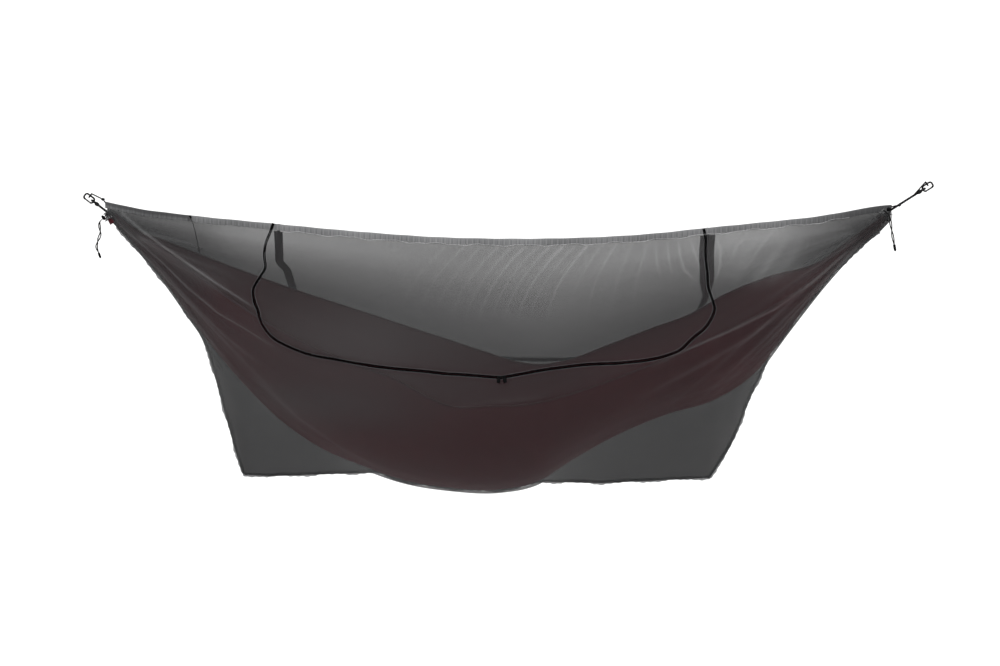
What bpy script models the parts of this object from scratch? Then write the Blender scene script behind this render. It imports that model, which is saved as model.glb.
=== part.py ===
"""A gathered-end hammock hung inside a closed mosquito net, with a carabiner at each end.

Everything is in metres with +Z up. X runs along the ridge, and the net's two doors face -Y and +Y.
The origin is the hang point of the left carabiner: the middle of the flat inside its outer bow.
"""

import math

import bmesh
import bpy
import numpy as np
from mathutils import Matrix, Vector

# Outlines as (x, z), seen from the front
RIDGE = [(0.060, -0.018), (0.165, -0.041), (0.340, -0.064), (0.600, -0.090), (0.875, -0.116), (1.160, -0.136),
         (1.420, -0.141), (1.580, -0.139), (1.860, -0.124), (2.030, -0.106), (2.220, -0.087), (2.410, -0.066),
         (2.520, -0.047), (2.610, -0.032), (2.655, -0.030)]
HEM_LOW = [(0.075, -0.075), (0.133, -0.143), (0.258, -0.294), (0.357, -0.437), (0.392, -0.517), (0.433, -0.674),
           (0.473, -0.832), (0.502, -0.930), (0.595, -0.934), (0.934, -0.921), (1.357, -0.950), (1.700, -0.957),
           (2.056, -0.940), (2.124, -0.832), (2.188, -0.667), (2.252, -0.523), (2.307, -0.444), (2.410, -0.308),
           (2.504, -0.205), (2.600, -0.123), (2.645, -0.075)]
BED_LOW = [(0.080, -0.072), (0.133, -0.129), (0.258, -0.280), (0.357, -0.423), (0.500, -0.604), (0.634, -0.740),
           (0.780, -0.840), (0.900, -0.890), (1.040, -0.938), (1.200, -0.962), (1.357, -0.967), (1.480, -0.940),
           (1.596, -0.865), (1.725, -0.791), (1.900, -0.718), (2.060, -0.672), (2.200, -0.575), (2.307, -0.430),
           (2.410, -0.294), (2.504, -0.191), (2.600, -0.109), (2.640, -0.072)]
NEAR_EDGE = [(0.090, -0.056), (0.174, -0.110), (0.304, -0.181), (0.432, -0.270), (0.580, -0.362), (0.740, -0.442),
             (0.890, -0.500), (1.034, -0.548), (1.130, -0.600), (1.200, -0.628), (1.326, -0.628), (1.441, -0.623),
             (1.543, -0.602), (1.668, -0.564), (1.793, -0.520), (1.983, -0.447), (2.194, -0.354), (2.377, -0.247),
             (2.515, -0.135), (2.632, -0.050)]
FAR_EDGE = [(0.090, -0.070), (0.160, -0.121), (0.253, -0.165), (0.414, -0.236), (0.649, -0.334), (0.845, -0.405),
            (1.146, -0.512), (1.300, -0.566), (1.440, -0.612), (1.510, -0.618), (1.568, -0.604), (1.742, -0.535),
            (1.890, -0.470), (2.040, -0.405), (2.217, -0.322), (2.437, -0.214), (2.540, -0.130), (2.632, -0.062)]

# The zips' routes: round the left side, a straight run for each slider, and round the right side
FRONT_ZIP = {
    "left": [(0.606, -0.133), (0.592, -0.178), (0.602, -0.216), (0.597, -0.240), (0.577, -0.265), (0.571, -0.301),
             (0.590, -0.338), (0.608, -0.388), (0.641, -0.428), (0.692, -0.454), (0.750, -0.474), (0.846, -0.489),
             (0.956, -0.505), (1.070, -0.520), (1.190, -0.536)],
    "middle": [(1.230, -0.538), (1.362, -0.546), (1.480, -0.526)],
    "right": [(1.510, -0.521), (1.632, -0.506), (1.728, -0.500), (1.794, -0.493), (1.868, -0.479), (1.926, -0.457),
              (1.958, -0.429), (1.998, -0.402), (2.032, -0.358), (2.040, -0.330), (2.026, -0.300), (2.026, -0.245),
              (2.025, -0.186), (2.031, -0.141)],
}
BACK_ZIP = {
    "left": [(0.628, -0.133), (0.620, -0.189), (0.617, -0.236), (0.634, -0.262), (0.639, -0.300), (0.648, -0.380),
             (0.690, -0.460), (0.780, -0.530), (0.900, -0.575), (1.060, -0.597), (1.230, -0.600)],
    "middle": [(1.270, -0.600), (1.362, -0.600), (1.460, -0.600)],
    "right": [(1.500, -0.600), (1.700, -0.597), (1.840, -0.575), (1.950, -0.530), (2.020, -0.470), (2.046, -0.413),
              (2.060, -0.370), (2.058, -0.300), (2.050, -0.240), (2.042, -0.186), (2.040, -0.141)],
}
SIDES = {"front": -1, "back": 1}

# The bed and the net
BED_ENDS = (0.114, 2.588)
NET_ENDS = (0.102, 2.598)
HEM_CORNERS = (0.502, 2.056)
HALF_WIDTH = 0.450
GATHER_SPAN = (0.090, 2.632)
GATHER_HALF_WIDTH = 0.012
FLARE = 0.8
MOST_FLARE = 0.8
BED_THICKNESS = 0.0020
NET_THICKNESS = 0.0016
BED_TO_NET = (0.007, 0.012)
SEAM_GAP = 0.0026
SLEEVE_HALF_WIDTH = 0.004
SLEEVE_DEPTH = [(0.066, 0.021), (2.598, 0.021), (2.606, 0.013), (2.615, 0.010), (2.640, 0.009)]
PANEL_TOP_DROP = 0.024
CROSS_STEPS = 15
UPPER_STEPS = 3
LOWER_STEPS = 7
PLEATS = 5
PLEAT_DEPTH = 0.014
PLEAT_REACH = 0.30
NET_FOLD = 0.012
NET_FOLD_ANGLE = math.radians(13)
NET_FOLD_REACH = 0.60
HEM_ROLL = 0.0030

# The zips
TAPE = 0.0044
TAPE_THICKNESS = 0.0020
TAPE_GAP = 0.0008
TAPE_TO_NET = 0.0014
SLOT_HALF = TAPE_GAP + TAPE + TAPE_TO_NET
FOLD_LINE = -0.180
FOLD_GAP = 0.0010
FOLD_AXIS_Y = {"front": -0.090, "back": 0.118}
SLIDER_LENGTH = 0.0115
SLIDER_WIDTH = 0.0092
SLIDER_PLATE = 0.0013
PULL_LENGTH = 0.019
PULL_WIDTH = 0.0056

# The two ends: the carabiner's hang point, where the rope meets the gathered cloth, and the cloth's mouth
ENDS = {
    "left": {"hang": (0.0, 0.0, 0.0), "gather": (0.070, 0.0, -0.054), "mouth": (0.096, 0.0, -0.090),
             "lock": (0.0580, 0.0, -0.0732), "cord_way": (-0.75, 0.0, -0.661), "plunger_way": (-0.661, 0.0, 0.75)},
    "right": {"hang": (2.769, 0.0, 0.037), "gather": (2.628, 0.0, -0.0535), "mouth": (2.602, 0.0, -0.080),
              "lock": (2.6265, -0.0235, -0.0440), "cord_way": (0.10, -0.03, -0.995), "plunger_way": (1.0, 0.0, 0.10)},
}
ROPE_RADIUS = 0.0030
CORD_RADIUS = 0.0018
DRAWCORD_RADIUS = 0.00125
ROPE_EYE_RADIUS = 0.0072
RIDGE_EYE_RADIUS = 0.0074
RIDGE_EYE_X = 0.0125
RIDGE_KNOTS = {"left": (0.0570, 0.0, -0.0125), "right": (2.6600, 0.0, -0.0220)}

# The tails below the cord locks, by hand: where each pair of strands hangs
TAILS = {
    "left": [(0.0464, 0.0000, -0.0834), (0.0438, 0.0005, -0.0890), (0.0432, 0.0010, -0.0985),
             (0.0448, 0.0010, -0.1140), (0.0459, 0.0000, -0.1230), (0.0440, -0.0010, -0.1320),
             (0.0402, -0.0010, -0.1410), (0.0366, 0.0000, -0.1500), (0.0340, 0.0010, -0.1590),
             (0.0324, 0.0005, -0.1670), (0.0334, 0.0000, -0.1750), (0.0362, 0.0000, -0.1820),
             (0.0384, 0.0000, -0.1880)],
    "right": [(2.6290, -0.0240, -0.0640), (2.6318, -0.0235, -0.0780), (2.6345, -0.0225, -0.0920),
              (2.6368, -0.0215, -0.1050), (2.6392, -0.0210, -0.1180), (2.6418, -0.0205, -0.1310),
              (2.6442, -0.0200, -0.1430), (2.6462, -0.0200, -0.1530), (2.6474, -0.0200, -0.1590)],
}
TAIL_TURNS = {"left": 1.5, "right": 1.0}
STRAND_SPREAD = 0.0021
CORD_ENDS = {"left": {"length": 0.019, "radius": 0.0040}, "right": {"length": 0.023, "radius": 0.0046}}

# The carabiners: X from the hang point to the rope, Z towards the spine
CARABINER_LENGTH = 0.030
CARABINER_WIDTH = 0.014
CARABINER_BAR = 0.005
CARABINER_THICKNESS = 0.006
CARABINER_CORNER = 0.005
GATE_SPAN = (0.0062, 0.0262)
GATE_PIN_X = 0.0245
GATE_PIN_RADIUS = 0.0008
GATE_BAR = 0.0044
GATE_THICKNESS = 0.0044
FORK_SLOT = 0.0038

# The cord locks: X along the cords, Z along the plunger
LOCK_RADIUS = 0.0052
LOCK_LENGTH = 0.0130
LOCK_BORE = 0.0038
PLUNGER_RADIUS = 0.0034
PLUNGER_LENGTH = 0.0115
PLUNGER_TRAVEL = 0.0025
STRAND_HOLE = 0.0017
STRAND_OFFSET = 0.0016
CORD_RUN = 0.0075

GAP = 0.0003


def start_afresh():
    for thing in list(bpy.data.objects):
        bpy.data.objects.remove(thing, do_unlink=True)


def collection_named(name):
    made = bpy.data.collections.new(name)
    bpy.context.scene.collection.children.link(made)
    return made


start_afresh()
PARTS = collection_named("hammock_with_net")
CUTTERS = collection_named("cutters")


def material(name, colour, roughness, metallic=0.0):
    made = bpy.data.materials.new(name)
    made.use_nodes = True
    shader = made.node_tree.nodes["Principled BSDF"]
    shader.inputs["Base Color"].default_value = (*colour, 1.0)
    shader.inputs["Roughness"].default_value = roughness
    shader.inputs["Metallic"].default_value = metallic
    return made


BED_CLOTH = material("bed_cloth", (0.055, 0.012, 0.018), 0.55)
BED_HEM = material("bed_hem", (0.035, 0.010, 0.014), 0.60)
NET_CLOTH = material("net_cloth", (0.070, 0.070, 0.075), 0.80)
NET_TAPE = material("net_tape", (0.050, 0.050, 0.055), 0.75)
ZIP_BLACK = material("zip_black", (0.008, 0.008, 0.009), 0.45)
CORD_BLACK = material("cord_black", (0.010, 0.010, 0.011), 0.70)
METAL_BLACK = material("metal_black", (0.020, 0.020, 0.022), 0.35, 0.9)
STEEL = material("steel", (0.50, 0.50, 0.50), 0.30, 1.0)
PLASTIC_BLACK = material("plastic_black", (0.012, 0.012, 0.012), 0.40)


def ride_on(thing, parent):
    """Parents a thing to an empty and leaves it where it is."""
    if parent is not None:
        thing.parent = parent
        thing.matrix_parent_inverse = parent.matrix_world.inverted()


def put(name, mesh, look, parent=None, cutter=False):
    thing = bpy.data.objects.new(name, mesh)
    if cutter:
        CUTTERS.objects.link(thing)
        thing.hide_render = True
        thing.display_type = "WIRE"
    else:
        PARTS.objects.link(thing)
        mesh.materials.append(look)
    ride_on(thing, parent)
    return thing


def mesh_from(bm, name, smooth=False):
    bmesh.ops.recalc_face_normals(bm, faces=bm.faces)
    mesh = bpy.data.meshes.new(name)
    bm.to_mesh(mesh)
    bm.free()
    if smooth:
        mesh.shade_smooth()
        mesh.set_sharp_from_angle(angle=math.radians(40))
    return mesh


def empty_at(name, origin, along=(1, 0, 0), up=(0, 0, 1)):
    """An empty with X along one direction and Z as near the other as it can be."""
    x = Vector(along).normalized()
    z = Vector(up)
    z = (z - x * x.dot(z)).normalized()
    matrix = Matrix((x, z.cross(x), z)).transposed().to_4x4()
    matrix.translation = origin
    empty = bpy.data.objects.new(name, None)
    PARTS.objects.link(empty)
    empty.matrix_world = matrix
    bpy.context.view_layer.update()
    return empty


def place(thing, frame):
    """Sets a thing that was made round its own origin on a frame."""
    thing.parent = frame
    thing.matrix_parent_inverse = Matrix.Identity(4)
    return thing


def evaluated_mesh(thing):
    bpy.context.view_layer.update()
    graph = bpy.context.evaluated_depsgraph_get()
    return bpy.data.meshes.new_from_object(thing.evaluated_get(graph))


def curve_mesh(name, points, radius, resolution):
    """A tube with filled caps along the points, as a closed mesh."""
    curve = bpy.data.curves.new(name, "CURVE")
    curve.dimensions = "3D"
    curve.bevel_depth = radius
    curve.bevel_resolution = resolution
    curve.use_fill_caps = True
    spline = curve.splines.new("POLY")
    spline.points.add(len(points) - 1)
    for slot, point in zip(spline.points, points):
        slot.co = (*point, 1.0)
    thing = bpy.data.objects.new(name, curve)
    CUTTERS.objects.link(thing)
    mesh = evaluated_mesh(thing)
    bpy.data.objects.remove(thing, do_unlink=True)
    bm = bmesh.new()
    bm.from_mesh(mesh)
    bmesh.ops.remove_doubles(bm, verts=bm.verts, dist=1e-6)
    bpy.data.meshes.remove(mesh)
    return mesh_from(bm, name, smooth=True)


def tube(name, points, radius, look, parent=None, resolution=1):
    return put(name, curve_mesh(name, points, radius, resolution), look, parent)


def ring_mesh(name, centre, normal, major, minor, steps=14, sides=6):
    """A closed ring round an axis."""
    bm = bmesh.new()
    turn = Vector(normal).normalized().to_track_quat("Z", "Y").to_matrix()
    rows = []
    for i in range(steps):
        a = 2 * math.pi * i / steps
        row = []
        for j in range(sides):
            b = 2 * math.pi * j / sides
            spot = Vector(((major + minor * math.cos(b)) * math.cos(a),
                           (major + minor * math.cos(b)) * math.sin(a), minor * math.sin(b)))
            row.append(bm.verts.new(turn @ spot + Vector(centre)))
        rows.append(row)
    for i in range(steps):
        ahead = rows[(i + 1) % steps]
        for j in range(sides):
            k = (j + 1) % sides
            bm.faces.new((rows[i][j], ahead[j], ahead[k], rows[i][k]))
    return mesh_from(bm, name, smooth=True)


def turned_mesh(name, profile, axis_from, axis_way, sides=12, flutes=0, flute_depth=0.0):
    """A solid of revolution from (distance along the axis, radius) pairs, with its ends closed."""
    turn = Vector(axis_way).normalized().to_track_quat("Z", "Y").to_matrix()
    bm = bmesh.new()
    rows = []
    for along, radius in profile:
        row = []
        for j in range(sides):
            a = 2 * math.pi * j / sides
            r = radius * (1 - flute_depth * (0.5 - 0.5 * math.cos(flutes * a)))
            row.append(bm.verts.new(turn @ Vector((r * math.cos(a), r * math.sin(a), along)) + Vector(axis_from)))
        rows.append(row)
    for near, far in zip(rows, rows[1:]):
        for j in range(sides):
            k = (j + 1) % sides
            bm.faces.new((near[j], near[k], far[k], far[j]))
    bm.faces.new(rows[0][::-1])
    bm.faces.new(rows[-1])
    return mesh_from(bm, name, smooth=True)


def block_mesh(name, low, high):
    bm = bmesh.new()
    bmesh.ops.create_cube(bm, size=1.0)
    for vert in bm.verts:
        vert.co = [a + (b - a) * (c + 0.5) for a, b, c in zip(low, high, vert.co)]
    return mesh_from(bm, name)


def plate_mesh(name, outline, low, high, across="Y"):
    """A flat outline in X and Z, or X and Y, made solid from low to high along the other axis."""
    spots = [(a, low, b) if across == "Y" else (a, b, low) for a, b in outline]
    bm = bmesh.new()
    face = bm.faces.new([bm.verts.new(spot) for spot in spots])
    grown = bmesh.ops.extrude_face_region(bm, geom=[face])
    step = (0, high - low, 0) if across == "Y" else (0, 0, high - low)
    moved = [item for item in grown["geom"] if isinstance(item, bmesh.types.BMVert)]
    bmesh.ops.translate(bm, verts=moved, vec=step)
    return mesh_from(bm, name)


def combine(thing, other, operation):
    step = thing.modifiers.new(f"{operation.lower()}_{other.name}", "BOOLEAN")
    step.operation = operation
    step.object = other
    return thing


def add_shape(thing, mesh, look_frame=None):
    """Joins another closed mesh to a thing."""
    helper = put(mesh.name + "_helper", mesh, None, cutter=True)
    if look_frame is not None:
        place(helper, look_frame)
    return combine(thing, helper, "UNION")


def cut_shape(thing, mesh, frame=None):
    helper = put(mesh.name + "_cutter", mesh, None, cutter=True)
    if frame is not None:
        place(helper, frame)
    return combine(thing, helper, "DIFFERENCE")


def cloth(name, sections, thickness, look, parent=None):
    """An open surface through the sections, given its thickness."""
    bm = bmesh.new()
    rows = [[bm.verts.new(point) for point in section] for section in sections]
    for near, far in zip(rows, rows[1:]):
        for j in range(len(near) - 1):
            bm.faces.new((near[j], near[j + 1], far[j + 1], far[j]))
    thing = put(name, mesh_from(bm, name, smooth=True), look, parent)
    skin = thing.modifiers.new("thickness", "SOLIDIFY")
    skin.thickness = thickness
    skin.offset = 0.0
    return thing


def height_at(points, x):
    """The height at x of a smooth curve through the points."""
    xs, zs = np.array(points).T
    slopes = np.gradient(zs, xs)
    i = int(np.clip(np.searchsorted(xs, x) - 1, 0, len(xs) - 2))
    step = xs[i + 1] - xs[i]
    t = float(np.clip((x - xs[i]) / step, 0, 1))
    return float((1 + 2 * t) * (1 - t) ** 2 * zs[i] + t * (1 - t) ** 2 * step * slopes[i]
                 + t * t * (3 - 2 * t) * zs[i + 1] + t * t * (t - 1) * step * slopes[i + 1])


def from_nearest_end(x):
    return max(min(x - GATHER_SPAN[0], GATHER_SPAN[1] - x), 0.0)


def half_width(x):
    """Half the bed's width at x, which grows from the gathered end to the middle."""
    t = (x - GATHER_SPAN[0]) / (GATHER_SPAN[1] - GATHER_SPAN[0])
    swell = math.sin(math.pi * min(max(t, 0.0), 1.0)) ** FLARE
    return GATHER_HALF_WIDTH + min((HALF_WIDTH - GATHER_HALF_WIDTH) * swell, MOST_FLARE * from_nearest_end(x))


def bed_at(x, turn, out=0.0):
    """(y, z) on the bed's section at x: turn is -pi/2 at the near edge, 0 at the bottom and pi/2 at the far edge."""
    edge = height_at(NEAR_EDGE if turn < 0 else FAR_EDGE, x)
    low = height_at(BED_LOW, x)
    return (half_width(x) + out) * math.sin(turn), edge + (low - out - edge) * math.cos(turn)


def turns_left(a, b, c):
    return (b[0] - a[0]) * (c[1] - a[1]) - (b[1] - a[1]) * (c[0] - a[0]) >= 0


def net_section(x, side):
    """The net stretched over the bed at x: (distance from the middle, height) from the ridge down to the hem.

    It is the shortest skin round the ridge seam, the bed held off by a small clearance, and the hem.
    """
    top = (SEAM_GAP, height_at(RIDGE, x) - PANEL_TOP_DROP)
    off = float(np.interp(from_nearest_end(x), (0.0, 0.1), BED_TO_NET))
    samples = 16
    bed = []
    for k in range(samples + 1):
        y, z = bed_at(x, side * math.pi / 2 * (1 - k / samples), off)
        bed.append((abs(y), min(z + BED_TO_NET[1], top[1] - 0.005) if k == 0 else z))
    hem = (SEAM_GAP, min(float(np.interp(x, *zip(*HEM_LOW))), bed[-1][1] - 0.002))
    chain = []
    for point in [top] + [p for p in bed if top[1] - 0.004 > p[1] > hem[1] + 0.001] + [hem]:
        while len(chain) > 1 and turns_left(chain[-2], chain[-1], point):
            chain.pop()
        chain.append(point)
    return chain


def net_fold(x, z, chain):
    """How far the lower net stands out in the folds that radiate from both gathered ends."""
    crest, hem = chain[1][1], chain[-1][1]
    window = math.sin(math.pi * min(max((crest - z) / (crest - hem), 0.0), 1.0))
    height = 0.0
    for end in ENDS.values():
        dx, dz = abs(x - end["mouth"][0]), end["mouth"][2] - z
        reach = math.hypot(dx, dz) / NET_FOLD_REACH
        angle = math.atan2(dz, dx)
        height += reach ** 2 * math.exp(1 - reach ** 2) * (0.5 + 0.5 * math.cos(2 * math.pi * angle / NET_FOLD_ANGLE))
    return NET_FOLD * height * window


def on_net(x, z, side):
    """The place on the net's front view, as a point."""
    chain = net_section(x, side)
    out, heights = zip(*chain)
    flat = float(np.interp(-z, [-h for h in heights], out))
    return Vector((x, side * (flat + net_fold(x, z, chain)), z))


def evenly(points, steps):
    """The same line cut into equal steps."""
    points = np.array(points)
    run = np.concatenate([[0.0], np.cumsum(np.linalg.norm(np.diff(points, axis=0), axis=1))])
    return [tuple(np.interp(t, run, column) for column in points.T) for t in np.linspace(0, run[-1], steps + 1)]


def stations(before=(), after=()):
    """The places along X that the bed and the net share, with more of them outside the bed's ends."""
    (start, end), (left, right) = BED_ENDS, HEM_CORNERS
    shared = [*np.linspace(start, left, 9), *np.linspace(left, right, 19)[1:-1], *np.linspace(right, end, 9)]
    return [*before, *shared, *after]


# The hammock: one cloth, gathered at both ends, with a rolled hem along each long edge

def bed_section(x):
    """The bed's section, drawn into pleats near the gathered ends."""
    depth = min(PLEAT_DEPTH * math.exp(-from_nearest_end(x) / PLEAT_REACH), 0.3 * half_width(x))
    points = []
    for k in range(CROSS_STEPS + 1):
        turn = math.pi * (k / CROSS_STEPS - 0.5)
        inward = depth * (0.5 - 0.5 * math.cos(2 * math.pi * PLEATS * k / CROSS_STEPS))
        points.append((x, *bed_at(x, turn, -inward)))
    return points


cloth("hammock_bed", [bed_section(x) for x in stations()], BED_THICKNESS, BED_CLOTH)


def edge_hem(name, edge, side):
    rise = HEM_ROLL + BED_THICKNESS / 2 + 2 * GAP
    points = [(x, side * half_width(x), height_at(edge, x) + rise) for x in stations()]
    tube(name, points, HEM_ROLL, BED_HEM)


edge_hem("near_edge_hem", NEAR_EDGE, -1)
edge_hem("far_edge_hem", FAR_EDGE, 1)


# The net: two panels, each with a door cut out of it, joined by a sleeve at the ridge and by tapes below

NET_STATIONS = stations(NET_ENDS[:1], NET_ENDS[1:])


def net_row(x, side):
    chain = net_section(x, side)
    upper = evenly(chain[:2], UPPER_STEPS)
    lower = evenly(chain[1:], LOWER_STEPS)
    return [(x, side * (y + net_fold(x, z, chain)), z) for y, z in upper + lower[1:]]


def net_half(name, side, parent=None):
    return cloth(name, [net_row(x, side) for x in NET_STATIONS], NET_THICKNESS, NET_CLOTH, parent)


def smooth_run(points, spacing):
    """Points at an even spacing on a smooth curve through the given ones."""
    points = np.array(points)
    run = np.concatenate([[0.0], np.cumsum(np.linalg.norm(np.diff(points, axis=0), axis=1))])
    count = max(2, round(run[-1] / spacing))
    return [tuple(height_at(list(zip(run, column)), s) for column in points.T)
            for s in np.linspace(0, run[-1], count + 1)]


def zip_route(route):
    spacing = 0.034
    return smooth_run(route["left"], spacing) + route["middle"] + smooth_run(route["right"], spacing)


def beside(path, distance):
    """The path moved sideways in the front view: a positive distance is away from the door."""
    points = np.array(path)
    ways = np.gradient(points, axis=0)
    ways /= np.linalg.norm(ways, axis=1)[:, None]
    return [tuple(p) for p in points + distance * np.column_stack([ways[:, 1], -ways[:, 0]])]


def beyond(near, far, reach=0.0025):
    """The place a little further along the line from one place to another."""
    way = Vector(far) - Vector(near)
    return tuple(Vector(far) + way.normalized() * reach)


def below(path, height):
    """The part of a U-shaped path that lies under a height, cut off level."""
    kept = []
    for a, b in zip(path, path[1:]):
        if (a[1] > height) != (b[1] > height):
            t = (height - a[1]) / (b[1] - a[1])
            kept.append((a[0] + (b[0] - a[0]) * t, height))
        if b[1] < height:
            kept.append(b)
    return kept


def uphill_at(spot, side):
    x, z = spot
    return (on_net(x, z + 0.005, side) - on_net(x, z - 0.005, side)).normalized()


def tape_line(path, distance, side, straight):
    """The path moved sideways on the net. The straight run's points all move the same way, so that it is flat."""
    up = uphill_at(straight[1], side)
    line = []
    for centre, moved in zip(path, beside(path, distance)):
        if centre in straight:
            line.append(on_net(*centre, side) - up * (distance / up.z))
        else:
            line.append(on_net(*moved, side))
    return line


def tape(name, path, inner, outer, side, straight, parent=None):
    """A zip tape that lies on the net, from one distance beside the path to another."""
    lines = [tape_line(path, distance, side, straight) for distance in (inner, outer)]
    return cloth(name, list(zip(*lines)), TAPE_THICKNESS, ZIP_BLACK, parent)


def above_left(path):
    return [p for p in path[: len(path) // 2] if p[1] > FOLD_LINE]


def above_right(path):
    return [p for p in path[len(path) // 2:] if p[1] > FOLD_LINE]


def slider(place_name, side, foot, nose, parent):
    """A slider that laps the door's tape and only covers the frame's, so that the door still opens; and its pull."""
    along = (on_net(*nose, side) - on_net(*foot, side)).normalized()
    there = on_net(*foot, side) + along * (SLIDER_LENGTH / 2 + 0.0012)
    uphill = uphill_at(foot, side)
    out = along.cross(uphill)
    if out.y * side < 0:
        out.negate()
    frame = empty_at(f"{place_name}_slider_frame", there, along, out)
    ride_on(frame, parent)
    door_way = 1 if (frame.matrix_world.to_3x3() @ Vector((0, 1, 0))).dot(uphill) > 0 else -1

    def box(name, lows, highs):
        (x0, y0, z0), (x1, y1, z1) = lows, highs
        y0, y1 = sorted((y0 * door_way, y1 * door_way))
        return block_mesh(name, (x0, y0, z0), (x1, y1, z1))

    half, wide = SLIDER_LENGTH / 2, SLIDER_WIDTH / 2
    under = TAPE_THICKNESS / 2 + 0.0006
    top = under + SLIDER_PLATE
    pivot = top + 0.0030
    body = place(put(f"{place_name}_slider", box("plate", (-half, -wide, under), (half, wide, top)), METAL_BLACK), frame)
    add_shape(body, box(f"{place_name}_post", (-half, -0.0004, -top), (half * 0.3, 0.0004, under + 0.0004)), frame)
    add_shape(body, box(f"{place_name}_heel", (-half, -0.0004, -top), (half, wide, -under)), frame)
    add_shape(body, place_bail(f"{place_name}_bail", pivot, top), frame)
    pull_axis = empty_at(f"{place_name}_pull_axis", frame.matrix_world @ Vector((0, 0, pivot)), along, out)
    ride_on(pull_axis, frame)
    pull_on(f"{place_name}_pull", door_way, pull_axis)


def place_bail(name, pivot, top):
    """The small arch on a slider that its pull hangs from."""
    reach, foot = 0.0030, top - 0.0004
    points = [(-reach, 0, foot), (-reach, 0, pivot - 0.0006), (-reach + 0.0006, 0, pivot), (reach - 0.0006, 0, pivot),
              (reach, 0, pivot - 0.0006), (reach, 0, foot)]
    return curve_mesh(name, points, 0.0006, 1)


def pull_on(name, door_way, axis):
    """A flat pull that lies downhill from the bail, with a knuckle round it."""
    half, neck = PULL_WIDTH / 2, 0.0015
    tip = PULL_LENGTH - 0.0015
    outline = [(-neck, 0.0), (-neck, -0.005), (-half, -0.008), (-half, -tip), (-half + 0.0015, -PULL_LENGTH),
               (half - 0.0015, -PULL_LENGTH), (half, -tip), (half, -0.008), (neck, -0.005), (neck, 0.0)]
    tab = plate_mesh("tab", [(x, y * door_way) for x, y in outline], -0.0007, 0.0007, "Z")
    pull = place(put(name, tab, PLASTIC_BLACK), axis)
    add_shape(pull, turned_mesh(f"{name}_knuckle", [(-neck - 0.0001, 0.0018), (neck + 0.0001, 0.0018)], (0, 0, 0),
                                (1, 0, 0), 10), axis)
    cut_shape(pull, turned_mesh(f"{name}_eye", [(-0.004, 0.0010), (0.004, 0.0010)], (0, 0, 0), (1, 0, 0), 8), axis)


def zipped_panel(face, route):
    """One side of the net: the panel with its door hole, the door, both zip halves, and two sliders with pulls."""
    side = SIDES[face]
    path = zip_route(route)
    hinge = empty_at(f"{face}_door_axis", (1.33, FOLD_AXIS_Y[face], FOLD_LINE))

    longer = [beyond(path[1], path[0]), *path[1:-1], beyond(path[-2], path[-1])]
    outer, inner = beside(longer, SLOT_HALF), beside(longer, -SLOT_HALF)
    left_inner = [p for p in inner[: len(inner) // 2] if p[1] > FOLD_LINE]
    right_inner = [p for p in inner[len(inner) // 2:] if p[1] > FOLD_LINE]
    lintel = below(inner, FOLD_LINE)
    hole = outer + right_inner[::-1] + [lintel[-1], lintel[0]] + left_inner[::-1]
    far = side * (HALF_WIDTH + 0.1)
    near = side * 0.0005
    low, high = sorted((near, far))
    panel = net_half(f"net_{face}_panel", side)
    cut_shape(panel, plate_mesh(f"{face}_door_hole", hole, low, high))

    door = net_half(f"{face}_door", side, hinge)
    shape = plate_mesh(f"{face}_door_shape", below(inner, FOLD_LINE - FOLD_GAP), low, high)
    combine(door, put(f"{face}_door_shape", shape, None, cutter=True), "INTERSECT")

    straight = route["middle"]
    frame_tape = tape(f"{face}_zip_frame_side", path, TAPE_GAP, TAPE_GAP + TAPE, side, straight)
    door_path = below(path, FOLD_LINE - FOLD_GAP)
    tape(f"{face}_zip_door_side", door_path, -TAPE_GAP - TAPE, -TAPE_GAP, side, straight, hinge)
    for word, end in (("left", above_left(path)), ("right", above_right(path))):
        stub = tape(f"{face}_{word}_stub", end, -TAPE_GAP - TAPE, -TAPE_GAP, side, straight)
        add_shape(frame_tape, evaluated_mesh(stub))
        bpy.data.objects.remove(stub, do_unlink=True)
        tip = end[0] if word == "left" else end[-1]
        there = on_net(tip[0], tip[1] - 0.003, side)
        wide = TAPE_GAP + TAPE - 0.0002
        add_shape(frame_tape, block_mesh(f"{face}_{word}_stop", there - Vector((wide, 0.004, 0.002)),
                                         there + Vector((wide, 0.004, 0.002))))

    for word, nose in (("left", straight[0]), ("right", straight[2])):
        slider(f"{face}_{word}", side, straight[1], nose, hinge)


for face, route in (("front", FRONT_ZIP), ("back", BACK_ZIP)):
    zipped_panel(face, route)


def hem_z(x):
    """The height of the net's lower edge."""
    return min(net_section(x, side)[-1][1] for side in SIDES.values())


SLEEVE_STATIONS = stations([0.066, 0.090], [x for x, _ in SLEEVE_DEPTH[1:]])[::2]


def ridge_sleeve():
    """A folded tape over the ridge line, sewn to both panels."""
    wide = SLEEVE_HALF_WIDTH
    rows = []
    for x in SLEEVE_STATIONS:
        top, drop = height_at(RIDGE, x), np.interp(x, *zip(*SLEEVE_DEPTH))
        shape = [(-wide, -drop), (-wide, -0.005), (-0.0015, -0.0008), (0.0015, -0.0008), (wide, -0.005), (wide, -drop)]
        rows.append([(x, y, top + z) for y, z in shape])
    cloth("ridge_sleeve", rows, NET_THICKNESS, NET_TAPE)


def hem_tape(name, xs):
    """A tape between the two panels along their lower edge."""
    line = [(x, hem_z(x)) for x in xs]
    inside, outside = beside(line, -0.009), beside(line, 0.002)
    cloth(name, [[(x, 0.0, z) for x, z in pair] for pair in zip(inside, outside)], 0.0014, NET_TAPE)


ridge_sleeve()
SEAM_END = 0.010
hem_tape("left_end_seam", [x for x in NET_STATIONS if x < HEM_CORNERS[0] - SEAM_END])
hem_tape("bottom_hem", [x for x in NET_STATIONS if HEM_CORNERS[0] - GAP < x < HEM_CORNERS[1] + GAP])
hem_tape("right_end_seam", [x for x in NET_STATIONS if x > HEM_CORNERS[1] + SEAM_END])


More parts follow.
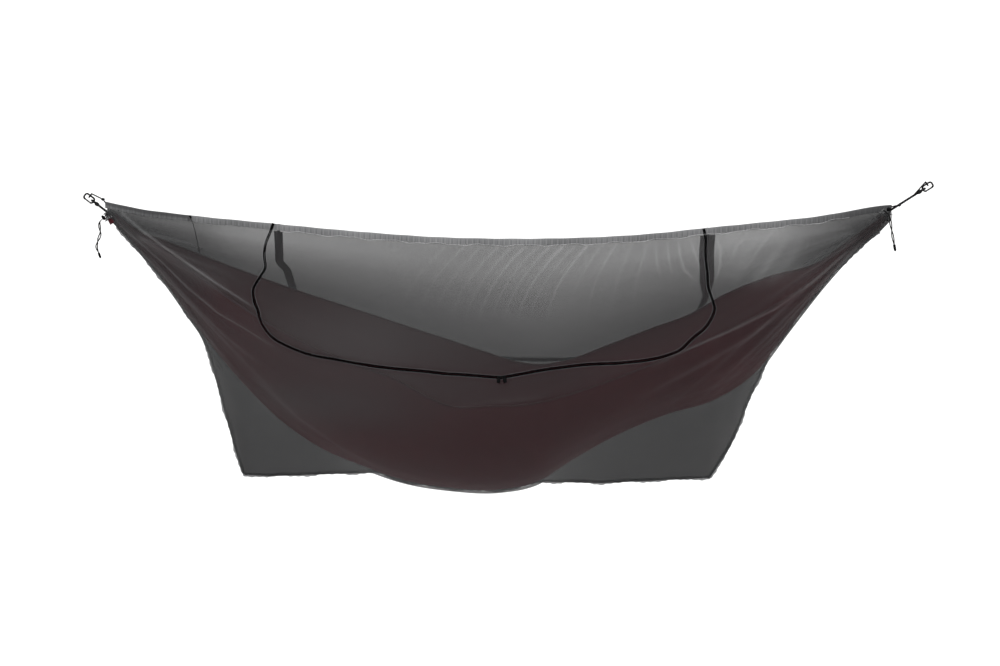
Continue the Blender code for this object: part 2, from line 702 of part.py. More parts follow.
# The ends: gathered cloth, rope, carabiner, and the net's drawcord with its lock

def rounded_rectangle(x0, x1, z0, z1, radius):
    corners = [(x1 - radius, z1 - radius, 0), (x0 + radius, z1 - radius, 1), (x0 + radius, z0 + radius, 2),
               (x1 - radius, z0 + radius, 3)]
    steps = 4
    return [(x + radius * math.cos(math.pi / 2 * (quarter + k / steps)),
             z + radius * math.sin(math.pi / 2 * (quarter + k / steps)))
            for x, z, quarter in corners for k in range(steps + 1)]


def carabiner(word, end):
    """A small carabiner: the body, its gate on a pin, and the gate's spring. Returns the way to the rope."""
    hang, gather = Vector(end["hang"]), Vector(end["gather"])
    along = (gather - hang).normalized()
    spine = Vector((-along.z, 0, along.x)) if along.x > 0 else Vector((along.z, 0, -along.x))
    swing = empty_at(f"{word}_carabiner_axis", hang + along * (CARABINER_LENGTH + CARABINER_BAR / 2), along, spine)
    frame = empty_at(f"{word}_carabiner_frame", hang, along, spine)
    ride_on(frame, swing)
    half, side_z = CARABINER_WIDTH / 2, CARABINER_WIDTH / 2 + CARABINER_BAR
    thick = CARABINER_THICKNESS / 2
    outline = rounded_rectangle(-CARABINER_BAR, CARABINER_LENGTH + CARABINER_BAR, -side_z, side_z, 0.009)
    opening = rounded_rectangle(0, CARABINER_LENGTH, -half, half, CARABINER_CORNER)
    body = place(put(f"{word}_carabiner_body", plate_mesh("body", outline, -thick, thick), METAL_BLACK), frame)
    cut_shape(body, plate_mesh(f"{word}_opening", opening, -0.01, 0.01), frame)
    fork_end = GATE_SPAN[1] + 0.0012
    gap_low, gap_high = -side_z - 0.001, -half + 0.001
    cut_shape(body, block_mesh(f"{word}_gate_gap", (GATE_SPAN[0], -0.01, gap_low),
                               (GATE_PIN_X - 0.0016, 0.01, gap_high)), frame)
    cut_shape(body, block_mesh(f"{word}_fork", (GATE_PIN_X - 0.003, -FORK_SLOT / 2, gap_low),
                               (fork_end, FORK_SLOT / 2, gap_high)), frame)
    pin_z = -half - CARABINER_BAR / 2
    pin_spot = (GATE_PIN_X, -0.01, pin_z)
    cut_shape(body, turned_mesh(f"{word}_pin_hole", [(0, GATE_PIN_RADIUS + 0.0002), (0.02, GATE_PIN_RADIUS + 0.0002)],
                                pin_spot, (0, 1, 0), sides=10), frame)
    gate_axis = empty_at(f"{word}_gate_axis", frame.matrix_world @ Vector((GATE_PIN_X, 0, pin_z)), along, spine)
    ride_on(gate_axis, frame)
    tail = (-FORK_SLOT / 2 + 0.0003, -0.0001)
    low_z, high_z = -GATE_BAR / 2, GATE_BAR / 2
    nose = GATE_SPAN[0] + GAP - GATE_PIN_X
    gate = place(put(f"{word}_carabiner_gate", block_mesh("gate", (nose, -GATE_THICKNESS / 2, low_z),
                                                        (-0.0034, GATE_THICKNESS / 2, high_z)), METAL_BLACK), gate_axis)
    knuckle = turned_mesh(f"{word}_knuckle", [(0, 0.0019), (tail[1] - tail[0], 0.0019)], (0, tail[0], 0), (0, 1, 0), 10)
    add_shape(gate, block_mesh(f"{word}_neck", (-0.0040, tail[0], low_z * 0.8), (-0.0002, tail[1], high_z * 0.8)),
              gate_axis)
    add_shape(gate, knuckle, gate_axis)
    cut_shape(gate, turned_mesh(f"{word}_gate_eye", [(0, GATE_PIN_RADIUS + 0.0002), (0.02, GATE_PIN_RADIUS + 0.0002)],
                                (0, -0.01, 0), (0, 1, 0), sides=10), gate_axis)
    pin = turned_mesh("pin", [(0, GATE_PIN_RADIUS), (CARABINER_THICKNESS - 0.0004, GATE_PIN_RADIUS)],
                      (GATE_PIN_X, -thick + 0.0002, pin_z), (0, 1, 0), sides=10)
    place(put(f"{word}_gate_pin", pin, STEEL), frame)
    coil, turns, per_turn = [], 3, 10
    for k in range(turns * per_turn + 1):
        a = 2 * math.pi * k / per_turn
        coil.append((0.0014 * math.cos(a), 0.00035 + 0.0011 * k / (turns * per_turn), 0.0014 * math.sin(a)))
    place(tube(f"{word}_gate_spring", coil, 0.00012, STEEL, resolution=0), gate_axis)
    return along, spine


def suspension(word, end, along):
    """The rope from the gathered cloth, with a knot and an eye round the carabiner's lower bow."""
    hang, gather = Vector(end["hang"]), Vector(end["gather"])
    eye_at = hang + along * (CARABINER_LENGTH + CARABINER_BAR / 2)
    knot_at = eye_at + along * (ROPE_EYE_RADIUS - 0.001)
    rope = tube(f"{word}_suspension_rope", evenly([knot_at + along * 0.004, gather - along * 0.0012], 4),
                ROPE_RADIUS, CORD_BLACK, resolution=2)
    across = Vector((-along.z, 0, along.x))
    add_shape(rope, ring_mesh(f"{word}_rope_eye", eye_at, across, ROPE_EYE_RADIUS, ROPE_RADIUS * 0.85, 16, 8))
    knot = [(0, 0.0035), (0.002, 0.0062), (0.006, 0.0074), (0.010, 0.0070), (0.013, 0.0050), (0.015, 0.0034)]
    add_shape(rope, turned_mesh(f"{word}_rope_knot", knot, knot_at, along, sides=10))


def gathered_end(word, end):
    """The pleated bundle that the bed is drawn into, and the net's collar that closes round it."""
    start, mouth = Vector(end["gather"]), Vector(end["mouth"])
    way = (mouth - start).normalized()
    bundle = [(0.0, 0.0066), (0.006, 0.0076), (0.012, 0.0092), (0.020, 0.0128), (0.030, 0.0158), (0.036, 0.0150)]
    put(f"{word}_gather", turned_mesh("gather", bundle, start, way, 24, 8, 0.16), BED_CLOTH)
    turn = way.to_track_quat("Z", "Y").to_matrix()
    rows = []
    sides = 20
    for j in range(sides + 1):
        a = 2 * math.pi * j / sides
        wave = 1 + 0.06 * math.cos(10 * a)
        rows.append([start + turn @ Vector((r * wave * math.cos(a), r * wave * math.sin(a), s))
                     for s, r in ((0.0005, 0.0128), (0.006, 0.0100), (0.012, 0.0128), (0.017, 0.0170))])
    collar = cloth(f"{word}_net_collar", rows, 0.0012, NET_TAPE)
    bm = bmesh.new()
    bm.from_mesh(collar.data)
    bmesh.ops.remove_doubles(bm, verts=bm.verts, dist=1e-5)
    bm.to_mesh(collar.data)
    bm.free()
    neck = start + way * 0.006
    put(f"{word}_drawcord", ring_mesh("drawcord", neck, way, 0.0128, DRAWCORD_RADIUS, 20, 6), CORD_BLACK)


def cord_lock(word, end):
    """A barrel lock on the two strands of the drawcord, with its sprung plunger."""
    centre, way = Vector(end["lock"]), Vector(end["cord_way"])
    frame = empty_at(f"{word}_lock_frame", centre, way, end["plunger_way"])
    mouth, back = LOCK_LENGTH * 0.45, -LOCK_LENGTH * 0.55
    shell = [(back, 0.0040), (back + 0.0012, LOCK_RADIUS), (mouth - 0.001, LOCK_RADIUS), (mouth, 0.0047)]
    barrel = place(put(f"{word}_cord_lock", turned_mesh("barrel", shell, (0, 0, 0), (0, 0, 1), 16), PLASTIC_BLACK),
                   frame)
    bore = [(back + 0.0014, LOCK_BORE), (mouth + 0.002, LOCK_BORE)]
    cut_shape(barrel, turned_mesh(f"{word}_bore", bore, (0, 0, 0), (0, 0, 1), 16), frame)
    plunger_frame = empty_at(f"{word}_plunger_axis", frame.matrix_world.translation, way, end["plunger_way"])
    ride_on(plunger_frame, frame)
    foot = mouth - 0.0075
    rod = [(foot, PLUNGER_RADIUS), (foot + PLUNGER_LENGTH - 0.001, PLUNGER_RADIUS), (foot + PLUNGER_LENGTH, 0.0026)]
    plunger = place(put(f"{word}_lock_plunger", turned_mesh("plunger", rod, (0, 0, 0), (0, 0, 1), 14), PLASTIC_BLACK),
                    plunger_frame)
    reach = 0.008
    lead = STRAND_HOLE
    wide = STRAND_OFFSET + lead
    for thing, place_frame, low, high in ((barrel, frame, -lead, lead),
                                          (plunger, plunger_frame, -lead, lead + PLUNGER_TRAVEL)):
        cut_shape(thing, block_mesh(f"{thing.name}_way", (-reach, -wide, low), (reach, wide, high)), place_frame)
    coil, turns, per_turn = [], 3, 10
    floor, top = back + 0.0019, foot - 0.0005
    for k in range(turns * per_turn + 1):
        a = 2 * math.pi * k / per_turn
        coil.append((0.0026 * math.cos(a), 0.0026 * math.sin(a), floor + (top - floor) * k / (turns * per_turn)))
    place(tube(f"{word}_lock_spring", coil, 0.00022, STEEL, resolution=0), frame)


def tail(word, end):
    """The two strands below a lock, twisted round each other, and the cord end that they meet in."""
    centre, way = Vector(end["lock"]), Vector(end["cord_way"]).normalized()
    frame = empty_at(f"{word}_tail_frame", centre, way, end["plunger_way"]).matrix_world.to_3x3()
    aside = frame @ Vector((0, 1, 0))
    straight = [centre - way * CORD_RUN, centre - way * 0.004, centre, centre + way * 0.006, centre + way * 0.012]
    route = smooth_run([tuple(p) for p in straight] + TAILS[word], 0.0062)
    first_free = 0.024
    run = np.concatenate([[0.0], np.cumsum(np.linalg.norm(np.diff(np.array(route), axis=0), axis=1))])
    last = route[-1]
    down = (Vector(last) - Vector(route[-2])).normalized()
    for number, sign in (("1", 1), ("2", -1)):
        strand = []
        for k, (point, s) in enumerate(zip(route, run)):
            ahead = Vector(route[min(k + 1, len(route) - 1)]) - Vector(route[max(k - 1, 0)])
            free = min(max((s - first_free) / (run[-1] - first_free), 0.0), 1.0)
            angle = 2 * math.pi * TAIL_TURNS[word] * free
            other = ahead.normalized().cross(aside).normalized()
            spread = STRAND_OFFSET + (STRAND_SPREAD - STRAND_OFFSET) * math.sin(math.pi * free)
            strand.append(Vector(point) + sign * spread * (aside * math.cos(angle) + other * math.sin(angle)))
        tube(f"{word}_tail_strand_{number}", strand, DRAWCORD_RADIUS, CORD_BLACK)
    size = CORD_ENDS[word]
    long, r = size["length"], size["radius"]
    shape = [(GAP, r * 0.85), (0.002, r), (long * 0.75, r * 0.95), (long * 0.95, r * 0.6), (long, r * 0.3)]
    put(f"{word}_cord_end", turned_mesh("cord_end", shape, last, down, 10), PLASTIC_BLACK)


def ridge_cord(ways):
    """One cord through the sleeve, knotted outside it at both ends, with an eye round each carabiner's spine."""
    points, eyes = [], []
    inside = [(x, 0.0, height_at(RIDGE, x) - 0.0065) for x in SLEEVE_STATIONS]
    ends = {}
    for word, (along, spine) in ways.items():
        hang = Vector(ENDS[word]["hang"])
        ring_at = hang + along * RIDGE_EYE_X + spine * (CARABINER_WIDTH / 2 + CARABINER_BAR / 2)
        ends[word] = ring_at + spine * RIDGE_EYE_RADIUS
        eyes.append(ring_mesh(f"{word}_ridge_eye", ring_at, along, RIDGE_EYE_RADIUS, CORD_RADIUS, 14, 6))
    points = [ends["left"], RIDGE_KNOTS["left"], *inside, RIDGE_KNOTS["right"], ends["right"]]
    cord = tube("ridgeline", points, CORD_RADIUS, CORD_BLACK)
    for eye in eyes:
        add_shape(cord, eye)
    for word, spot in RIDGE_KNOTS.items():
        way = Vector(ends[word]) - Vector(spot)
        knot = [(-0.0045, 0.0022), (-0.003, 0.0036), (0.0, 0.0042), (0.003, 0.0036), (0.0045, 0.0022)]
        add_shape(cord, turned_mesh(f"{word}_ridge_knot", knot, spot, way, sides=8))


WAYS = {}
for word, end in ENDS.items():
    WAYS[word] = carabiner(word, end)
    suspension(word, end, WAYS[word][0])
    gathered_end(word, end)
    cord_lock(word, end)
    tail(word, end)
ridge_cord(WAYS)
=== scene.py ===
"""Looks for a gathered-end hammock inside its closed mosquito net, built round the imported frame.

Metres, +Z up. X runs along the ridge and the front of the net faces -Y, as in the frame.
"""

import math
from bisect import bisect_left
from functools import lru_cache

import bmesh
import bpy
import numpy as np
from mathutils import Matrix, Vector
from mathutils.geometry import delaunay_2d_cdt
from mathutils.kdtree import KDTree


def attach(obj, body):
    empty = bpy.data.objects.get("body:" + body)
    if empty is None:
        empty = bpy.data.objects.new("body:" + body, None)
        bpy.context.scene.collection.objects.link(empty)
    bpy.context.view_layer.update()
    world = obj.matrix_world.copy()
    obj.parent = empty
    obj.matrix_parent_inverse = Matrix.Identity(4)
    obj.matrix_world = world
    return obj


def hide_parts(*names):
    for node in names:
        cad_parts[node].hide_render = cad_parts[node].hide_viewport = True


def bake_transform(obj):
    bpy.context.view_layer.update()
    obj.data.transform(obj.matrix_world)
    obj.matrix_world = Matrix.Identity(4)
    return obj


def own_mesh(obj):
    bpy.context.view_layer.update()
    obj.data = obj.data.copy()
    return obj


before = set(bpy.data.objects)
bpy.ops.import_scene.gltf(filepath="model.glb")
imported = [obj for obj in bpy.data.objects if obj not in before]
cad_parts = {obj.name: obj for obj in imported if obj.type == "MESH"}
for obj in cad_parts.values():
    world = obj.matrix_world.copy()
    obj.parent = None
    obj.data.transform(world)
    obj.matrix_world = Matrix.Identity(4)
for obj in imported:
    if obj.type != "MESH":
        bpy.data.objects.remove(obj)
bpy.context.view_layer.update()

scene = bpy.context.scene


# The studio: a pale painted floor in soft white light, and the camera a little above the belly's height.
# The surroundings are white all round, as behind a product that is photographed on a light table.

class Wire:
    """An output of one of a material's nodes, which can be reckoned with as if it were a number."""

    def __init__(self, look, socket):
        self.look = look
        self.socket = socket

    def maths(self, operation, *others):
        return self.look.node("Math", {"operation": operation}, dict(enumerate((self, *others))))

    def __add__(self, other):
        return self.maths("ADD", other)

    __radd__ = __add__

    def __sub__(self, other):
        return self.maths("SUBTRACT", other)

    def __rsub__(self, other):
        return self.look.node("Math", {"operation": "SUBTRACT"}, {0: other, 1: self})

    def __mul__(self, other):
        return self.maths("MULTIPLY", other)

    __rmul__ = __mul__

    def __pow__(self, other):
        return self.maths("POWER", other)

    def sine(self):
        return self.maths("SINE")

    def kept(self, low=0.0, high=1.0):
        return self.maths("MAXIMUM", low).maths("MINIMUM", high)


class Look:
    """A material with one shader. Its nodes are made as they are asked for."""

    def __init__(self, name, sockets):
        self.material = bpy.data.materials.new(name)
        self.material.use_nodes = True
        self.tree = self.material.node_tree
        self.shader = self.tree.nodes["Principled BSDF"]
        self.feed(sockets)

    def feed(self, sockets, node=None):
        """Sets or links sockets of a node, or of the shader itself."""
        node = node or self.shader
        for name, value in sockets.items():
            if isinstance(value, Wire):
                self.tree.links.new(value.socket, node.inputs[name])
            elif isinstance(value, tuple) and node.inputs[name].type == "RGBA":
                node.inputs[name].default_value = (*value[:3], 1.0)
            else:
                node.inputs[name].default_value = value

    def node(self, kind, settings=None, sockets=None, out=0):
        """Adds a node, with its settings first and then the values or links of its sockets."""
        made = self.tree.nodes.new("ShaderNode" + kind)
        for name, value in (settings or {}).items():
            setattr(made, name, value)
        self.feed(sockets or {}, made)
        return Wire(self, made.outputs[out])

    def places(self):
        return self.node("TexCoord", out="Object")

    def flat_places(self):
        return self.node("TexCoord", out="UV")

    def flat_axes(self):
        """The two flat places apart: across the surface and along it."""
        flat = self.flat_places()
        return [self.node("SeparateXYZ", None, {0: flat}, axis) for axis in "XY"]

    def marked(self, name):
        """A value that the mesh carries at its points."""
        return self.node("Attribute", {"attribute_name": name}, None, "Fac")

    def mix(self, share, first, second):
        return self.node("Mix", {"data_type": "RGBA"}, {0: share, 6: first, 7: second}, 2)

    def coloured(self, share, dark, light):
        """Feeds the shader's colour with a mix of two."""
        self.feed({"Base Color": self.mix(share, dark, light)})

    def stretched(self, places, scale):
        return self.node("Mapping", None, {"Vector": places, "Scale": scale})

    def noise(self, places, scale, detail=2.0, roughness=0.5):
        return self.node("TexNoise", None, {"Vector": places, "Scale": scale, "Detail": detail,
                                            "Roughness": roughness})

    def bump(self, height, distance, strength=1.0):
        made = self.node("Bump", None, {"Height": height, "Distance": distance, "Strength": strength})
        self.feed({"Normal": made})


FLOOR_HEIGHT = -1.90
bpy.ops.mesh.primitive_circle_add(vertices=64, radius=60, fill_type="NGON",
                                  location=(1.36, 20.0, FLOOR_HEIGHT))
floor = bpy.context.active_object
floor.name = "floor"
paint = Look("floor_paint", {"Roughness": 0.9})
mottling = paint.noise(paint.places(), 1.3, 4.0)
paint.coloured(mottling, (0.90, 0.90, 0.90), (0.92, 0.92, 0.92))
floor.data.materials.append(paint.material)

sky = bpy.data.worlds.new("studio")
sky.use_nodes = True
sky.node_tree.nodes["Background"].inputs["Color"].default_value = (1.0, 1.0, 1.0, 1.0)
sky.node_tree.nodes["Background"].inputs["Strength"].default_value = 1.4
scene.world = sky
scene.view_settings.view_transform = "Standard"


def soft_box(name, place, aim, wide, deep, power):
    light = bpy.data.lights.new(name, "AREA")
    light.shape = "RECTANGLE"
    light.size = wide
    light.size_y = deep
    light.energy = power
    holder = bpy.data.objects.new(name, light)
    holder.location = place
    holder.rotation_euler = (Vector(aim) - Vector(place)).to_track_quat("-Z", "Y").to_euler()
    scene.collection.objects.link(holder)


soft_box("top_light", (0.9, -0.9, 3.4), (1.36, 0.0, -0.5), 5.0, 3.0, 110)
soft_box("side_light", (-2.8, -3.0, 1.8), (1.1, 0.0, -0.5), 1.6, 1.6, 60)

camera = bpy.data.objects.new("camera", bpy.data.cameras.new("camera"))
camera.data.lens = 76.36
camera.data.sensor_width = 36.0
camera.location = (1.357, -6.9478, 0.3996)
camera.rotation_euler = (math.radians(83.0), 0.0, 0.0)
scene.collection.objects.link(camera)
scene.camera = camera


# The drawcords' tails: at each end of the net, the two strands of its drawcord come out of the cord lock and
# hang twisted round each other down to a moulded cord end, into which both are crimped.

LOCKS = {
    "left": {"spot": (0.0580, 0.0, -0.0732), "cord_way": (-0.75, 0.0, -0.661),
             "press_way": (-0.661, 0.0, 0.75)},
    "right": {"spot": (2.6265, -0.0235, -0.0440), "cord_way": (0.10, -0.03, -0.995),
              "press_way": (1.0, 0.0, 0.10)},
}
TAILS = {
    "left": [(0.0464, 0.0000, -0.0834), (0.0438, 0.0005, -0.0890), (0.0432, 0.0010, -0.0985),
             (0.0448, 0.0010, -0.1140), (0.0459, 0.0000, -0.1230), (0.0440, -0.0010, -0.1320),
             (0.0402, -0.0010, -0.1410), (0.0366, 0.0000, -0.1500), (0.0340, 0.0010, -0.1590),
             (0.0324, 0.0005, -0.1670), (0.0334, 0.0000, -0.1750), (0.0362, 0.0000, -0.1820),
             (0.0384, 0.0000, -0.1880)],
    "right": [(2.6290, -0.0240, -0.0640), (2.6318, -0.0235, -0.0780), (2.6345, -0.0225, -0.0920),
              (2.6368, -0.0215, -0.1050), (2.6392, -0.0210, -0.1180), (2.6418, -0.0205, -0.1310),
              (2.6442, -0.0200, -0.1430), (2.6462, -0.0200, -0.1530), (2.6474, -0.0200, -0.1590)],
}
TAIL_TURNS = {"left": 1.5, "right": 1.0}
STRAND_RADIUS = 0.0019
STRAND_OFFSET = 0.0018
GRIPPED_RADIUS = 0.0014
GRIPPED_OFFSET = 0.0016
STRAND_SPREAD = 0.0032
RUN_BEHIND_LOCK = 0.0075
FREE_FROM = 0.024
LOOSENING = 0.006


@lru_cache(maxsize=None)
def curve_parts(points):
    xs, zs = np.array(points).T
    return xs.tolist(), zs.tolist(), np.gradient(zs, xs).tolist()


def height_at(points, x):
    """The height at x of a smooth curve through the points."""
    xs, zs, slopes = curve_parts(tuple(points))
    i = min(max(bisect_left(xs, x) - 1, 0), len(xs) - 2)
    step = xs[i + 1] - xs[i]
    t = min(max((x - xs[i]) / step, 0.0), 1.0)
    return ((1 + 2 * t) * (1 - t) ** 2 * zs[i] + t * (1 - t) ** 2 * step * slopes[i]
            + t * t * (3 - 2 * t) * zs[i + 1] + t * t * (t - 1) * step * slopes[i + 1])


def run_along(points):
    """How far along a line each of its points is."""
    steps = np.linalg.norm(np.diff(np.array(points, float), axis=0), axis=1)
    return np.concatenate([[0.0], np.cumsum(steps)])


def smooth_run(points, spacing):
    """Points at an even spacing on a smooth curve through the given ones."""
    points = np.array(points, float)
    run = run_along(points)
    count = max(2, round(run[-1] / spacing))
    columns = [list(zip(run, column)) for column in points.T]
    return [tuple(height_at(column, s) for column in columns) for s in np.linspace(0, run[-1], count + 1)]


class Shape:
    """Gathers surfaces and tubes, with flat places on them in metres, into one mesh."""

    def __init__(self):
        self.points = []
        self.faces = []
        self.flat = []

    def sheet(self, rows, flat, closed=False):
        """A surface through rows of points. A closed one joins each row's end to its start."""
        start = len(self.points)
        wide = len(rows[0])
        self.points += [tuple(point) for row in rows for point in row]
        for i in range(len(rows) - 1):
            for j in range(wide if closed else wide - 1):
                k = (j + 1) % wide
                a, b = start + i * wide, start + (i + 1) * wide
                self.faces.append((a + j, a + k, b + k, b + j))
                self.flat.append([flat(i, j), flat(i, j + 1), flat(i + 1, j + 1), flat(i + 1, j)])
        return start

    def cap(self, ring, sides, hub, at_start, flat):
        """Closes one end of a tube: a fan from the hub to a ring of points."""
        self.points.append(tuple(hub))
        for j in range(sides):
            k = (j + 1) % sides
            pair = (ring + k, ring + j) if at_start else (ring + j, ring + k)
            self.faces.append((*pair, len(self.points) - 1))
            self.flat.append(flat)

    def tube(self, points, radius, sides=10, closed=False, flattened=1.0):
        """A tube along the points, whose radius may differ at each. Its flat places run round and along."""
        points = [Vector(p) for p in points]
        count = len(points)
        radii = [radius] * count if isinstance(radius, (int, float)) else list(radius)
        ways = []
        for k in range(count):
            ahead = points[(k + 1) % count] if closed else points[min(k + 1, count - 1)]
            behind = points[k - 1] if closed else points[max(k - 1, 0)]
            ways.append((ahead - behind).normalized())
        across = ways[0].orthogonal().normalized()
        if abs(ways[0].y) < 0.9:
            across = (Vector((0, 1, 0)) - ways[0] * ways[0].y).normalized()
        sides_of = []
        for way in ways:
            across = (across - way * across.dot(way)).normalized()
            sides_of.append(across)
        rows = []
        for point, way, side, r in zip(points, ways, sides_of, radii):
            other = way.cross(side)
            row = []
            for j in range(sides):
                a = 2 * math.pi * j / sides
                row.append(point + r * (side * math.cos(a) + other * (math.sin(a) * flattened)))
            rows.append(row)
        run = run_along([*points, points[0]] if closed else points)
        girth = 2 * math.pi * max(radii)
        start = self.sheet(rows, lambda i, j: (j / sides, run[i] / girth), closed=True)
        if closed:
            last = start + (count - 1) * sides
            for j in range(sides):
                k = (j + 1) % sides
                self.faces.append((last + j, last + k, start + k, start + j))
                self.flat.append([(j / sides, run[-2] / girth), ((j + 1) / sides, run[-2] / girth),
                                  ((j + 1) / sides, run[-1] / girth), (j / sides, run[-1] / girth)])
        else:
            fan = [(0, 0), (0.1, 0), (0.05, 0.1)]
            last = start + (count - 1) * sides
            self.cap(start, sides, points[0] - ways[0] * radii[0] * 0.45, True, fan)
            self.cap(last, sides, points[-1] + ways[-1] * radii[-1] * 0.45, False, fan)
        return self

    def mesh(self, name, marks=None):
        """The finished mesh. Marks are values at its points that a look reads."""
        mesh = bpy.data.meshes.new(name)
        mesh.from_pydata(self.points, [], self.faces)
        layer = mesh.uv_layers.new(name="UVMap")
        layer.data.foreach_set("uv", np.array([uv for face in self.flat for uv in face], np.float32).ravel())
        for mark, values in (marks or {}).items():
            attribute = mesh.attributes.new(mark, "FLOAT", "POINT")
            attribute.data.foreach_set("value", np.array(values, np.float32))
        mesh.update()
        mesh.validate()
        mesh.shade_smooth()
        return mesh


def piece(name, form, look, body, stands_for=(), soft_door=None, marks=None):
    """Puts a shape or a finished mesh in the scene: it rides on a body, or, for a door's part, stays
    unattached where it was made.
    """
    mesh = form.mesh(name, marks) if isinstance(form, Shape) else form
    thing = bpy.data.objects.new(name, mesh)
    scene.collection.objects.link(thing)
    if look is not None:
        mesh.materials.append(look.material)
    if stands_for:
        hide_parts(*stands_for)
    if soft_door is None:
        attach(thing, body)
    else:
        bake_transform(thing)
    return thing


def braid_look(name, colour, fleck, strands, lean):
    """A braided cord: diamonds of yarn that cross in two directions round it."""
    look = Look(name, {"Roughness": 0.80, "Specular IOR Level": 0.08})
    round_it, along = look.flat_axes()
    turn = 2 * math.pi * strands
    one_way = (round_it * turn + along * (turn * lean)).sine()
    other_way = (round_it * turn - along * (turn * lean)).sine()
    yarn = one_way.maths("MAXIMUM", other_way)
    dust = look.noise(look.places(), 900.0, 3.0)
    look.coloured((yarn * 0.3 + dust * 0.7).kept(), colour, fleck)
    look.bump(yarn, 0.00035)
    return look


TAIL_BRAID = braid_look("drawcord_braid", (0.0035, 0.0035, 0.0038), (0.0130, 0.0130, 0.0135), 3, 0.8)


def tail_lines(word):
    """The centre lines of the two strands, from just behind the lock down to the cord end."""
    lock = LOCKS[word]
    centre, way = Vector(lock["spot"]), Vector(lock["cord_way"]).normalized()
    press = Vector(lock["press_way"])
    press = (press - way * way.dot(press)).normalized()
    aside = press.cross(way)
    straight = [centre - way * RUN_BEHIND_LOCK, centre - way * 0.004, centre, centre + way * 0.006,
                centre + way * 0.012]
    route = smooth_run([tuple(p) for p in straight] + TAILS[word], 0.0031)
    run = run_along(route)
    lines = ([], [])
    for k, (point, s) in enumerate(zip(route, run)):
        ahead = Vector(route[min(k + 1, len(route) - 1)]) - Vector(route[max(k - 1, 0)])
        free = min(max((s - FREE_FROM) / (run[-1] - FREE_FROM), 0.0), 1.0)
        angle = 2 * math.pi * TAIL_TURNS[word] * free
        other = ahead.normalized().cross(aside).normalized()
        loose = float(min(max((s - FREE_FROM) / LOOSENING, 0.0), 1.0))
        beside_way = GRIPPED_OFFSET + (STRAND_OFFSET - GRIPPED_OFFSET) * loose
        spread = beside_way + (STRAND_SPREAD - beside_way) * math.sin(math.pi * free)
        for line, sign in zip(lines, (1, -1)):
            line.append(Vector(point) + sign * spread * (aside * math.cos(angle) + other * math.sin(angle)))
    return lines


tail_routes = {word: tail_lines(word) for word in LOCKS}
for word, lines in tail_routes.items():
    for number, line in zip("12", lines):
        name = f"{word}_tail_strand_{number}"
        radii = np.interp(run_along(line), (FREE_FROM, FREE_FROM + LOOSENING),
                          (GRIPPED_RADIUS, STRAND_RADIUS))
        strand = Shape().tube(line, radii.tolist(), 10)
        piece(name + "_braid", strand, TAIL_BRAID, "hammock", [name])


# The bed: one piece of dark red ripstop nylon about 3.1 m long. It is drawn together at both ends, and long
# folds fan out from the gathers. It hangs between them in a deep, even belly.

NEAR_EDGE = [(0.090, -0.056), (0.174, -0.110), (0.304, -0.181), (0.432, -0.270), (0.580, -0.362),
             (0.740, -0.442), (0.890, -0.500), (1.034, -0.548), (1.130, -0.600), (1.200, -0.628),
             (1.326, -0.628), (1.441, -0.623), (1.543, -0.602), (1.668, -0.564), (1.793, -0.520),
             (1.983, -0.447), (2.194, -0.354), (2.377, -0.247), (2.515, -0.135), (2.632, -0.050)]
FAR_EDGE = [(0.090, -0.070), (0.160, -0.121), (0.253, -0.168), (0.414, -0.244), (0.649, -0.344),
            (0.845, -0.417), (1.146, -0.524), (1.300, -0.577), (1.440, -0.618), (1.510, -0.622),
            (1.568, -0.613), (1.742, -0.547), (1.890, -0.484), (2.030, -0.424), (2.116, -0.367),
            (2.270, -0.293), (2.437, -0.230), (2.540, -0.139), (2.632, -0.062)]
BED_LOW = [(0.080, -0.072), (0.133, -0.129), (0.258, -0.280), (0.357, -0.423), (0.500, -0.604),
           (0.634, -0.740), (0.780, -0.840), (0.900, -0.890), (1.040, -0.938), (1.200, -0.962),
           (1.357, -0.967), (1.480, -0.940), (1.596, -0.865), (1.725, -0.791), (1.900, -0.718),
           (2.060, -0.672), (2.200, -0.575), (2.307, -0.430), (2.410, -0.294), (2.504, -0.191),
           (2.600, -0.109), (2.640, -0.072)]
BED_ENDS = (0.100, 2.606)
MIDDLE_X = 1.36
GATHER_SPAN = (0.090, 2.632)
GATHER_HALF_WIDTH = 0.012
HALF_WIDTH = 0.450
FLARE = 0.8
MOST_FLARE = 0.8
BED_COLUMNS = 250
BED_ROWS = 190
BED_CLOTH_THICKNESS = 0.0008
YARN_PITCH = 0.0011
RIPSTOP_PITCH = 0.0055
# Each set of folds: how many across, where they start, how deep, and how far they reach from a gather
BED_FOLDS = [(5, 0.00, 0.0140, 0.34), (9, 0.31, 0.0065, 0.48), (17, 0.12, 0.0042, 0.24),
             (29, 0.47, 0.0024, 0.12), (13, 0.77, 0.0022, 1.10)]


def thicken(sheet, thickness):
    """Gives a sheet its thickness, half to each side."""
    skin = sheet.modifiers.new("thickness", "SOLIDIFY")
    skin.thickness = thickness
    skin.offset = 0.0


def from_nearest_end(x):
    """How far x is from the nearest gather."""
    return max(min(x - GATHER_SPAN[0], GATHER_SPAN[1] - x), 0.0)


def half_width(x):
    """Half the bed's width at x, which grows from the gathered end to the middle."""
    t = (x - GATHER_SPAN[0]) / (GATHER_SPAN[1] - GATHER_SPAN[0])
    swell = math.sin(math.pi * min(max(t, 0.0), 1.0)) ** FLARE
    wider = min((HALF_WIDTH - GATHER_HALF_WIDTH) * swell, MOST_FLARE * from_nearest_end(x))
    return GATHER_HALF_WIDTH + wider


def bed_at(x, turn, out=0.0):
    """(y, z) on the bed's section at x. Turn is -pi/2 at the near edge and pi/2 at the far edge."""
    edge = height_at(NEAR_EDGE if turn < 0 else FAR_EDGE, x)
    low = height_at(BED_LOW, x)
    return (half_width(x) + out) * math.sin(turn), edge + (low - out - edge) * math.cos(turn)


